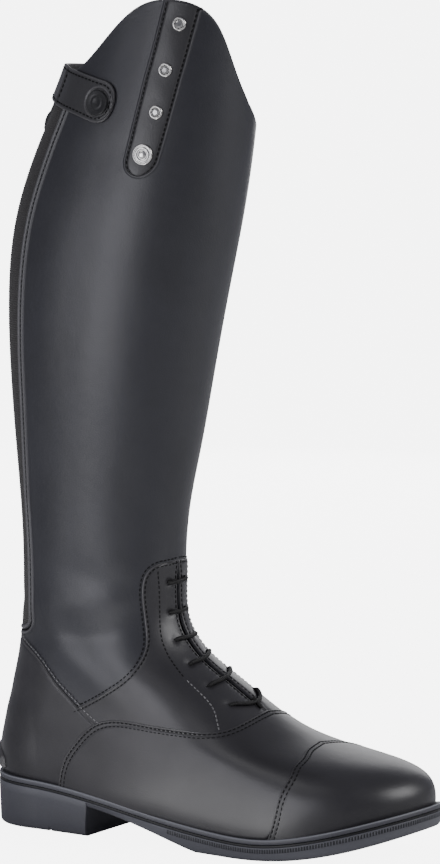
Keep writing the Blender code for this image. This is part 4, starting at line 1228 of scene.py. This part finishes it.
def make_zip():
    """Zip up the back: woven tape, interlocked teeth, and a folded leather edge along each side."""
    top = float(row_at(ZIP_TOP_Z))
    rows = np.linspace(ZIP_LOW_ROW, top, 160)[:, None]
    tape = net(lifted(np.linspace(*TAPE_TURNS, 9), rows, TAPE_LIFT))
    piece("zip_tape", [tape], [ELASTIC], closed=False)

    path = resampled(place(0.0, np.linspace(ZIP_LOW_ROW, top, 300)), step=TEETH_PITCH / 2)
    centre = lifted(*parted(path), TEETH_LIFT)
    along, side, out = axes_on(path, centre)
    centre = centre + np.where(np.arange(len(path)) % 2, TEETH_SHIFT, -TEETH_SHIFT)[:, None] * side
    teeth = capsules(centre, (side, along, out), TEETH_HALF)
    piece("zip_teeth", [teeth], [BLACK_METAL], "zip_chain")

    rows = np.linspace(ZIP_LOW_ROW - 0.05, top, 220)
    for name, turn, sign in ZIP_EDGES:
        path = place(turn, rows)
        band(name, path, ZIP_SECTION, sign)
        stitches("stitches_" + name, [(beside(path, sign * ZIP_STITCH), 0.6)], THREAD)


make_stretch()
make_zip()


# Zip stop, slider and pull

ZIP_STOP_ROWS = (8.46, 8.92)
ZIP_STOP_HALF_TURN = 0.0145
ZIP_STOP_HEIGHT = 3.5
ZIP_STOP_BASE = 0.3
ZIP_STOP_ROUND = 1.8
SLIDER_TOP_Z = 426.0
SLIDER_LENGTH = 11.0
SLIDER_WIDTH = 8.0
SLIDER_THICKNESS = 2.6
SLIDER_SEAT = 2.2
RAIL_WIDTH = 2.2
RAIL_HEIGHT = 2.4
PULL_LENGTH = 19.0
PULL_WIDTH = 6.4
PULL_THICKNESS = 1.4
PULL_FORK = 12.0
PULL_CLEARANCE = 0.4
HINGE_INSET = 1.2
PULL_END = 0.7
METAL_ROUND = 0.35
METAL_ANGLE = 30
GRIP_PLACE = 0.62
GRIP_HALF = (2.7, 6.2)
GRIP_HEIGHT = 2.4


def prism(outline, depth, origin, across, along, out):
    """Parts of a flat outline of (across, along) points, half its depth to each side of its plane."""
    flat = np.asarray(outline, float)
    plane = origin + flat[:, :1] * across + flat[:, 1:] * along
    front, back = plane + out * depth / 2, plane - out * depth / 2
    count = len(flat)
    return [(front, np.arange(count)[None], 0), (back, np.arange(count)[None, ::-1], 0),
            net(np.stack([back, front]), wrap_columns=True)]


def soften(obj, width, segments=3):
    """Rounds a piece's hard edges with a bevel."""
    bevel = obj.modifiers.new("Round", "BEVEL")
    bevel.width = width * MM
    bevel.segments = segments
    bevel.limit_method = "ANGLE"
    bevel.harden_normals = False


def make_zip_ends():
    """Sewn leather stop under the zip, the slider with its rail, and the forked pull that turns on it."""
    turn = np.linspace(-ZIP_STOP_HALF_TURN, ZIP_STOP_HALF_TURN, 21)
    places = place(turn, np.linspace(*ZIP_STOP_ROWS, 21)[:, None])
    rim = edge_distance(skin(*parted(places)))
    top = rounded(rim, ZIP_STOP_HEIGHT, ZIP_STOP_BASE, ZIP_STOP_ROUND)
    # Pale rim, partly wear and partly painted highlight
    sheet("zip_stop_leather", places, top, ZIP_STOP_BASE, TRIM_LEATHER, "zip_stop",
          np.exp(-rim))
    cross = place(np.linspace(-0.011, 0.011, 20), np.mean(ZIP_STOP_ROWS))
    rows = [(cross, ZIP_STOP_HEIGHT), (cross + (0, 0.13), ZIP_STOP_HEIGHT - THREAD_SINK)]
    stitches("stitches_zip_stop", rows, GLINTING_THREAD)

    row = float(row_at(SLIDER_TOP_Z - SLIDER_LENGTH / 2))
    out = skin_normal(0.0, row)
    side = np.array((0.0, 1.0, 0.0))
    down = np.cross(out, side)
    seat = skin(0.0, row) + out * SLIDER_SEAT
    half, rail, high = SLIDER_WIDTH / 2, RAIL_WIDTH / 2, SLIDER_THICKNESS + RAIL_HEIGHT
    section = ((-half, 0), (half, 0), (half, SLIDER_THICKNESS), (rail, SLIDER_THICKNESS), (rail, high),
               (-rail, high), (-rail, SLIDER_THICKNESS), (-half, SLIDER_THICKNESS))
    slider = piece("zip_slider_body", prism(section, SLIDER_LENGTH, seat, side, out, -down), [BLACK_METAL],
                   "zip_slider", sharp=METAL_ANGLE)
    soften(slider, 2 * METAL_ROUND)

    hinge = seat - down * (SLIDER_LENGTH / 2 - HINGE_INSET) + out * (
        SLIDER_THICKNESS + PULL_CLEARANCE + PULL_THICKNESS / 2)
    wide, slot = PULL_WIDTH / 2, rail + PULL_CLEARANCE
    turn = np.linspace(0, math.pi, 17)
    tip = [(wide * math.cos(t), PULL_LENGTH - wide + wide * math.sin(t)) for t in turn]
    fork = [(-wide, -PULL_END), (-slot, -PULL_END), (-slot, PULL_FORK), (slot, PULL_FORK), (slot, -PULL_END),
            (wide, -PULL_END)] + tip
    parts = prism(fork, PULL_THICKNESS, hinge, side, down, out)
    share = np.linspace(0, 1, 9)
    profile = np.stack([share, PULL_THICKNESS / 2 - 0.1 + GRIP_HEIGHT * np.sqrt(1 - share**2)], -1)
    grip, faces, _ = turned(np.append(profile, [(0.0, 0.2)], axis=0), np.zeros(3), (0.0, 0.0, 1.0), 32)
    grip = (hinge + down * PULL_LENGTH * GRIP_PLACE + grip[..., :1] * GRIP_HALF[0] * side
            + grip[..., 1:2] * GRIP_HALF[1] * down + grip[..., 2:] * out)
    pull = piece("zip_pull_tab", parts + [(grip, faces, 0)], [BLACK_METAL], "zip_pull",
                 body="zip_pull", sharp=METAL_ANGLE)
    soften(pull, METAL_ROUND)


make_zip_ends()


# Snap tab and its button

TAB_COLUMNS = ("turn", "low_z", "high_z", "lift")
TAB = (
    (-0.085, 427, 447, 0.4), (-0.075, 427, 447, 0.6), (-0.035, 428, 447.5, 2.4), (0.035, 429, 448, 2.4),
    (0.09, 427.5, 448.5, 1.5), (0.155, 423, 445, 1.4), (0.185, 420.5, 443, 0.6), (0.215, 417, 440.5, 0.5),
    (0.247, 413.5, 438.5, 0.5),
)
TAB_WALL = 1.8
TAB_END_TURNS = (0.012, 0.033)
TAB_END_POWER = 2.5
TAB_EASE = 0.016
TAB_INSIDE = (0.5, 1.5)
TAB_STITCH = 2.4
TAB_STITCH_START = -0.06
FOLD_TURN = 0.116
FOLD_WIDTH = 0.0036
FOLD_GROOVE = 2.2
FOLD_ROWS = (18.60, 18.93)
RING_WIDTH = 0.5
RING_STEP = 1.1
SNAP_TURN = 0.2195
SNAP_Z = 427.8
SNAP_LIFT = 2.2
SNAP_RING = 7.9
SNAP_PROFILE = (
    (0.0, 1.0), (2.2, 1.0), (2.5, 1.2), (3.0, 1.25), (3.5, 1.05), (4.6, 1.0), (5.0, 1.2), (5.4, 1.3),
    (6.1, 1.22), (6.6, 1.36), (6.95, 1.3), (7.25, 1.0), (7.4, 0.5), (7.35, 0.0), (0.0, 0.0),
)


def tab_value(name, turn):
    """Edge height or lift of the snap tab at a turn, its corners eased by a running mean."""
    tab = columns(TAB_COLUMNS, TAB)
    shifts = np.linspace(-TAB_EASE, TAB_EASE, 17)
    return np.mean([np.interp(turn + shift, tab["turn"], tab[name]) for shift in shifts], axis=0)


def bell(value):
    """Bell curve of a value: 1 at zero, almost none beyond 2."""
    return np.exp(-value**2)


def make_tab():
    """Strap standing off the zip's top: folded at the shaft, sewn along its edges, ringed at the snap."""
    first, last = TAB[0][0], TAB[-1][0]
    turn = first + (last - first) * (1 - np.cos(np.linspace(0, math.pi, 241))) / 2
    low, high = tab_value("low_z", turn), tab_value("high_z", turn)
    ends = np.minimum(1, np.minimum((turn - first) / TAB_END_TURNS[0], (last - turn) / TAB_END_TURNS[1]))
    half = (high - low) / 2 * (1 - (1 - ends) ** TAB_END_POWER) ** (1 / TAB_END_POWER)
    middle = (high + low) / 2
    lower, upper = place(turn, row_at(middle - half)), place(turn, row_at(middle + half))
    places = patch(lower, upper, 40, rim_low=RIM_STEPS, rim_high=RIM_STEPS)
    here = skin(*parted(places))
    rim = edge_distance(here)
    row = float(row_at(SNAP_Z))
    away = np.linalg.norm(here - skin(SNAP_TURN, row), axis=-1) - SNAP_RING
    across = (places[..., 0] - FOLD_TURN) / FOLD_WIDTH
    fold, groove = bell(across), bell(across - FOLD_GROOVE)
    sunk_and_painted_shade, swell = bell(away / RING_WIDTH), bell((away - RING_STEP) / RING_WIDTH)
    inside = smooth(*TAB_INSIDE, rim)
    relief = inside * (0.5 * fold - 0.35 * groove - 0.4 * sunk_and_painted_shade + 0.3 * swell)
    # Fold ridge and the ring's swell made pale as painted highlight, the groove and the sunk ring darkened as
    # painted shade
    edge = rim_wear_and_painted_light(rim, TAB_STITCH) + inside * (0.7 * fold - groove - sunk_and_painted_shade + 0.7 * swell)
    lift = tab_value("lift", places[..., 0]) + TAB_WALL / 2
    arc = rounded(rim, TAB_WALL / 2, radius=TAB_WALL / 2)
    top = lift + arc + shut(dip(rim, TAB_STITCH) + relief, 0.0)
    sheet("snap_strap", places, top, lift - arc, TRIM_LEATHER, "snap_tab", edge)
    shown = turn > TAB_STITCH_START
    outline = resampled(np.concatenate([lower[shown], upper[shown][::-1]]), 240)
    fold_row = place(FOLD_TURN + FOLD_GROOVE * FOLD_WIDTH, np.linspace(*FOLD_ROWS, 20))
    rows = []
    for path in (beside(outline, TAB_STITCH), fold_row):
        even = resampled(path, step=STITCH_PITCH, closed_ends=False)
        rows.append((path, tab_value("lift", even[:, 0]) + TAB_WALL - 0.15))
    stitches("stitches_snap_strap", rows, THREAD)

    centre = lifted(SNAP_TURN, row, SNAP_LIFT)
    cap = turned(SNAP_PROFILE, centre, skin_normal(SNAP_TURN, row), 64)
    piece("snap_cap", [cap], [BLACK_METAL], "snap_button", sharp=35)


make_tab()


# Side strap and rivets

STRAP_COLUMNS = ("row", "back_turn", "front_turn")
STRAP = (
    (17.82, 0.2893, 0.3378), (18.50, 0.2893, 0.3434), (18.90, 0.2897, 0.3477), (19.80, 0.2985, 0.3630),
    (21.0, 0.310, 0.3815),
)
STRAP_ROUND_ROWS = 0.24
STRAP_TOP_ROW = 20.2
STRAP_BASE = 0.02
STRAP_RIM = 0.15
STRAP_STEP = (0.7, 1.7)
STRAP_HEIGHT = 0.95
STRAP_CROWN = 0.5
CROWN_WIDTH = 9
RIVET_PULL = 0.45
PULL_REACH = 8
STRAP_STITCH = 0.8
STRAP_MARGIN = 1.5
STRAP_SECTION = (
    (-0.1, -0.3, -0.5), (0.0, 0.2, -0.2), (0.25, 0.48, 0.5), (0.55, 0.55, 0.9), (0.85, 0.42, 0.5),
    (1.2, 0.14, 0.0), (1.7, 0.03, 0.0), (2.2, -0.2, 0.0),
)
RIVETS = (("rivet_1", 0.3310, 19.59), ("rivet_2", 0.3206, 19.01), ("rivet_3", 0.3198, 18.45))
LARGE_RIVET = ("rivet_large", 0.3142, 17.87)
RIM_PROFILE = (
    (2.55, 0.6), (2.6, 1.0), (2.85, 1.3), (3.3, 1.38), (3.75, 1.15), (4.0, 0.7), (4.0, 0.0), (0.0, 0.0),
)
STONE_PROFILE = ((0.0, 1.95), (1.35, 1.95), (2.2, 1.45), (2.7, 0.75), (2.7, 0.3), (0.0, 0.3))
STONE_SIDES = 10
RIVET_ANGLE = 50
STONE_ANGLE = 5
LARGE_PROFILE = (
    (0.0, 1.75), (1.2, 1.7), (2.0, 1.5), (2.4, 1.15), (2.9, 1.15), (3.2, 1.45), (3.7, 1.55), (4.2, 1.4),
    (4.5, 1.1), (4.9, 1.1), (5.2, 1.35), (5.6, 1.3), (5.9, 1.0), (6.0, 0.5), (6.0, 0.0), (0.0, 0.0),
)


def strap_edges(rows):
    """Back and front turn of the strap at a row: lines of the table, round at the lower end."""
    strap = columns(STRAP_COLUMNS, STRAP)
    back = np.interp(rows, strap["row"], strap["back_turn"])
    front = np.interp(rows, strap["row"], strap["front_turn"])
    low = np.clip((strap["row"][0] - rows) / STRAP_ROUND_ROWS, 0, 1)
    half = (front - back) / 2 * np.sqrt(1 - low**2)
    return (front + back) / 2 - half, (front + back) / 2 + half


def make_strap():
    """Strap let into the outer side: a crowned sheet drawn in at the rivets, a raised edge, and stitches."""
    rounding = STRAP[0][0] - STRAP_ROUND_ROWS * np.cos(np.linspace(0, math.pi / 2, 30))
    rows = np.concatenate([rounding, np.linspace(STRAP[0][0], STRAP_TOP_ROW, 90)[1:]])
    back, front = (
        place(turn, np.minimum(rows, collar_row(turn, STRAP_MARGIN))) for turn in strap_edges(rows))
    places = patch(back, front, 16, rim_low=RIM_STEPS[:7], rim_high=RIM_STEPS[:7])
    places[..., 1] = np.minimum(rows[:, None], collar_row(places[..., 0], STRAP_MARGIN))
    here = skin(*parted(places))
    rim = edge_distance(here, ("low", "high"))
    raised = smooth(*STRAP_STEP, rim)
    crown = STRAP_CROWN * (1 - (1 - np.clip(rim / CROWN_WIDTH, 0, 1)) ** 2)
    away = (np.linalg.norm(here - skin(turn, row), axis=-1) for _, turn, row in (*RIVETS, LARGE_RIVET))
    pulled = RIVET_PULL * sum(bell(distance / PULL_REACH) for distance in away)
    top = shut(STRAP_RIM + raised * (STRAP_HEIGHT - STRAP_RIM + crown - pulled), STRAP_BASE)
    # Low rim round the strap darkened with painted shade
    sheet("strap_leather", places, top, STRAP_BASE, TRIM_LEATHER, "side_strap", raised - 1)

    outline = np.concatenate([back[::-1], front[1:]])
    keep = np.concatenate([[True], np.abs(np.diff(outline, axis=0)).sum(1) > 1e-6])
    outline = resampled(outline[keep], 240)
    band("strap_edge", outline, STRAP_SECTION, -1)
    stitches("stitches_strap", [(beside(outline, STRAP_STITCH), 0.45)], THREAD)


def make_rivets():
    """Small rivets with a rim and a cut stone, and a large plain one with two rings."""
    for name, turn, row in RIVETS:
        centre, normal = lifted(turn, row, STRAP_HEIGHT), skin_normal(turn, row)
        rim = turned(RIM_PROFILE, centre, normal, 48)
        stone = turned(STONE_PROFILE, centre, normal, STONE_SIDES)
        piece(name + "_rim", [rim], [SILVER], name, sharp=RIVET_ANGLE)
        piece(name + "_stone", [stone], [STONE], sharp=STONE_ANGLE)
    name, turn, row = LARGE_RIVET
    cap = turned(LARGE_PROFILE, lifted(turn, row, STRAP_HEIGHT), skin_normal(turn, row), 72)
    piece(name + "_cap", [cap], [SILVER], name, sharp=RIVET_ANGLE)


make_strap()
make_rivets()


# Spur rest

SPUR_TURN = 0.07
SPUR_ROWS = (0.25, 1.9)
SPUR_TAPER = 0.8
SPUR_HEIGHT = 3.0
SPUR_SINK = 0.2
SPUR_ROUND = 1.6


def make_spur_rest():
    """Small ledge on the back of the counter, rounded on all sides."""
    turn = np.linspace(-SPUR_TURN, SPUR_TURN, 61)
    low = place(turn, SPUR_ROWS[0])
    rise = np.sqrt(1 - SPUR_TAPER * (turn / SPUR_TURN) ** 2) * (SPUR_ROWS[1] - SPUR_ROWS[0])
    places = patch(low, low + place(0, rise), 12, rim_low=RIM_STEPS, rim_high=RIM_STEPS)
    rim = edge_distance(skin(*parted(places)))
    base = COUNTER_HEIGHT - SPUR_SINK
    # Pale rim, partly wear and partly painted highlight
    sheet("spur_ledge", places, rounded(rim, SPUR_HEIGHT, base, SPUR_ROUND), base, TRIM_LEATHER,
          "spur_rest", np.exp(-rim))


make_spur_rest()


# Floor, light and camera

AZIMUTH = 32.24
ELEVATION = 5.67
DISTANCE = 2.4
TARGET = Vector((0.072, 0.0, 0.25))
FOCAL_PX = 4128.0
PRINCIPAL_PX = (165.92, 407.77)
FRAME_PX = (440, 864)
SENSOR_MM = 36.0
FLOOR_RADIUS = 3000.0
FLOOR_SIDES = 64
FAR_CLIP = 8000.0
# Azimuth and elevation in degrees, distance, width and height in metres, power in watts, colour
LAMPS = {
    "key_lamp": (-16, 0, 1.2, 0.62, 0.60, 5.4, (0.94, 0.94, 1.0)),
    "side_lamp": (105, 26, 2.0, 1.3, 1.1, 27, (1, 1, 1)),
    "back_lamp": (200, 10, 2.0, 1.2, 0.9, 7, (1, 1, 1)),
    "top_lamp": (-28, 48, 2.0, 1.0, 0.8, 4.5, (1, 1, 1)),
    "low_lamp": (-29, -11, 1.0, 0.22, 0.12, 0.32, (1, 1, 1)),
}
FLOOR_CARD = (0.15, 0.14, 0.42, (1, 1, 1))
CARD_PLACE = (0.075, -0.17, 0.004)
SURROUNDINGS = (0.285, 0.287, 0.325)
SEEN_SURROUNDINGS = (6.5, 6.5, 6.5)
SEEN_FLOOR = 6.0


def direction(azimuth, elevation):
    """Unit vector from the boot towards a place seen at an azimuth and elevation, in degrees."""
    a, e = math.radians(azimuth), math.radians(elevation)
    return Vector((math.sin(a) * math.cos(e), -math.cos(a) * math.cos(e), math.sin(e)))


def make_floor():
    """Wide pale disc under the boot."""
    made, shader, where = new_finish("pale_floor", Roughness=0.9, Emission_Strength=SEEN_FLOOR)
    feed(shader, "Base Color", noise(where, 3.0).mixed((0.70, 0.70, 0.70), (0.73, 0.73, 0.73)))
    seen = where.node("LightPath", output="Is Camera Ray")
    feed(shader, "Emission Color", seen.mixed((0, 0, 0), (1, 1, 1)))
    angle = np.linspace(0, 2 * math.pi, FLOOR_SIDES + 1)[:-1]
    points = np.stack([FLOOR_RADIUS * np.cos(angle), FLOOR_RADIUS * np.sin(angle), 0 * angle], -1)
    mesh = bpy.data.meshes.new("floor")
    mesh.from_pydata(points.tolist(), [], [list(range(FLOOR_SIDES))])
    mesh.materials.append(made)
    obj = bpy.data.objects.new("floor", mesh)
    bpy.context.scene.collection.objects.link(obj)


def area_lamp(name, width, height, power, colour):
    """Soft rectangular lamp."""
    lamp = bpy.data.lights.new(name, "AREA")
    lamp.shape = "RECTANGLE"
    lamp.size, lamp.size_y = width, height
    lamp.energy = power
    lamp.color = colour
    obj = bpy.data.objects.new(name, lamp)
    bpy.context.scene.collection.objects.link(obj)
    return obj


def make_light():
    """Dim even surroundings, lamps aimed at the boot's middle, and a card on the floor that faces up.

    The lamps stand left of the camera, at the side, behind, above and low. The camera doesn't see the card.
    """
    world = bpy.data.worlds.new("studio")
    world.use_nodes = True
    tree = world.node_tree
    seen = Shade(tree).node("LightPath", output="Is Camera Ray")
    feed(tree.nodes["Background"], "Color", seen.mixed(SURROUNDINGS, SEEN_SURROUNDINGS))
    bpy.context.scene.world = world
    for name, (azimuth, elevation, distance, *light) in LAMPS.items():
        obj = area_lamp(name, *light)
        towards = direction(azimuth, elevation)
        obj.location = TARGET + towards * distance
        obj.rotation_euler = towards.to_track_quat("Z", "Y").to_euler()
    card = area_lamp("floor_card", *FLOOR_CARD)
    card.location = CARD_PLACE
    card.rotation_euler = (math.pi, 0, 0)
    card.visible_camera = False


def make_camera():
    """Camera at the photo's angle, aimed so that the frame needs no shift."""
    back = direction(AZIMUTH, ELEVATION)
    right = Vector((math.cos(math.radians(AZIMUTH)), math.sin(math.radians(AZIMUTH)), 0))
    up = back.cross(right)
    aim = (-FOCAL_PX * back + (FRAME_PX[0] / 2 - PRINCIPAL_PX[0]) * right
           - (FRAME_PX[1] / 2 - PRINCIPAL_PX[1]) * up)
    camera = bpy.data.cameras.new("camera")
    camera.lens = FOCAL_PX / FRAME_PX[1] * SENSOR_MM
    camera.sensor_width = SENSOR_MM
    camera.clip_end = FAR_CLIP
    obj = bpy.data.objects.new("camera", camera)
    obj.location = TARGET + DISTANCE * back
    obj.rotation_euler = aim.to_track_quat("-Z", "Y").to_euler()
    bpy.context.scene.collection.objects.link(obj)
    bpy.context.scene.camera = obj


make_floor()
make_light()
make_camera()
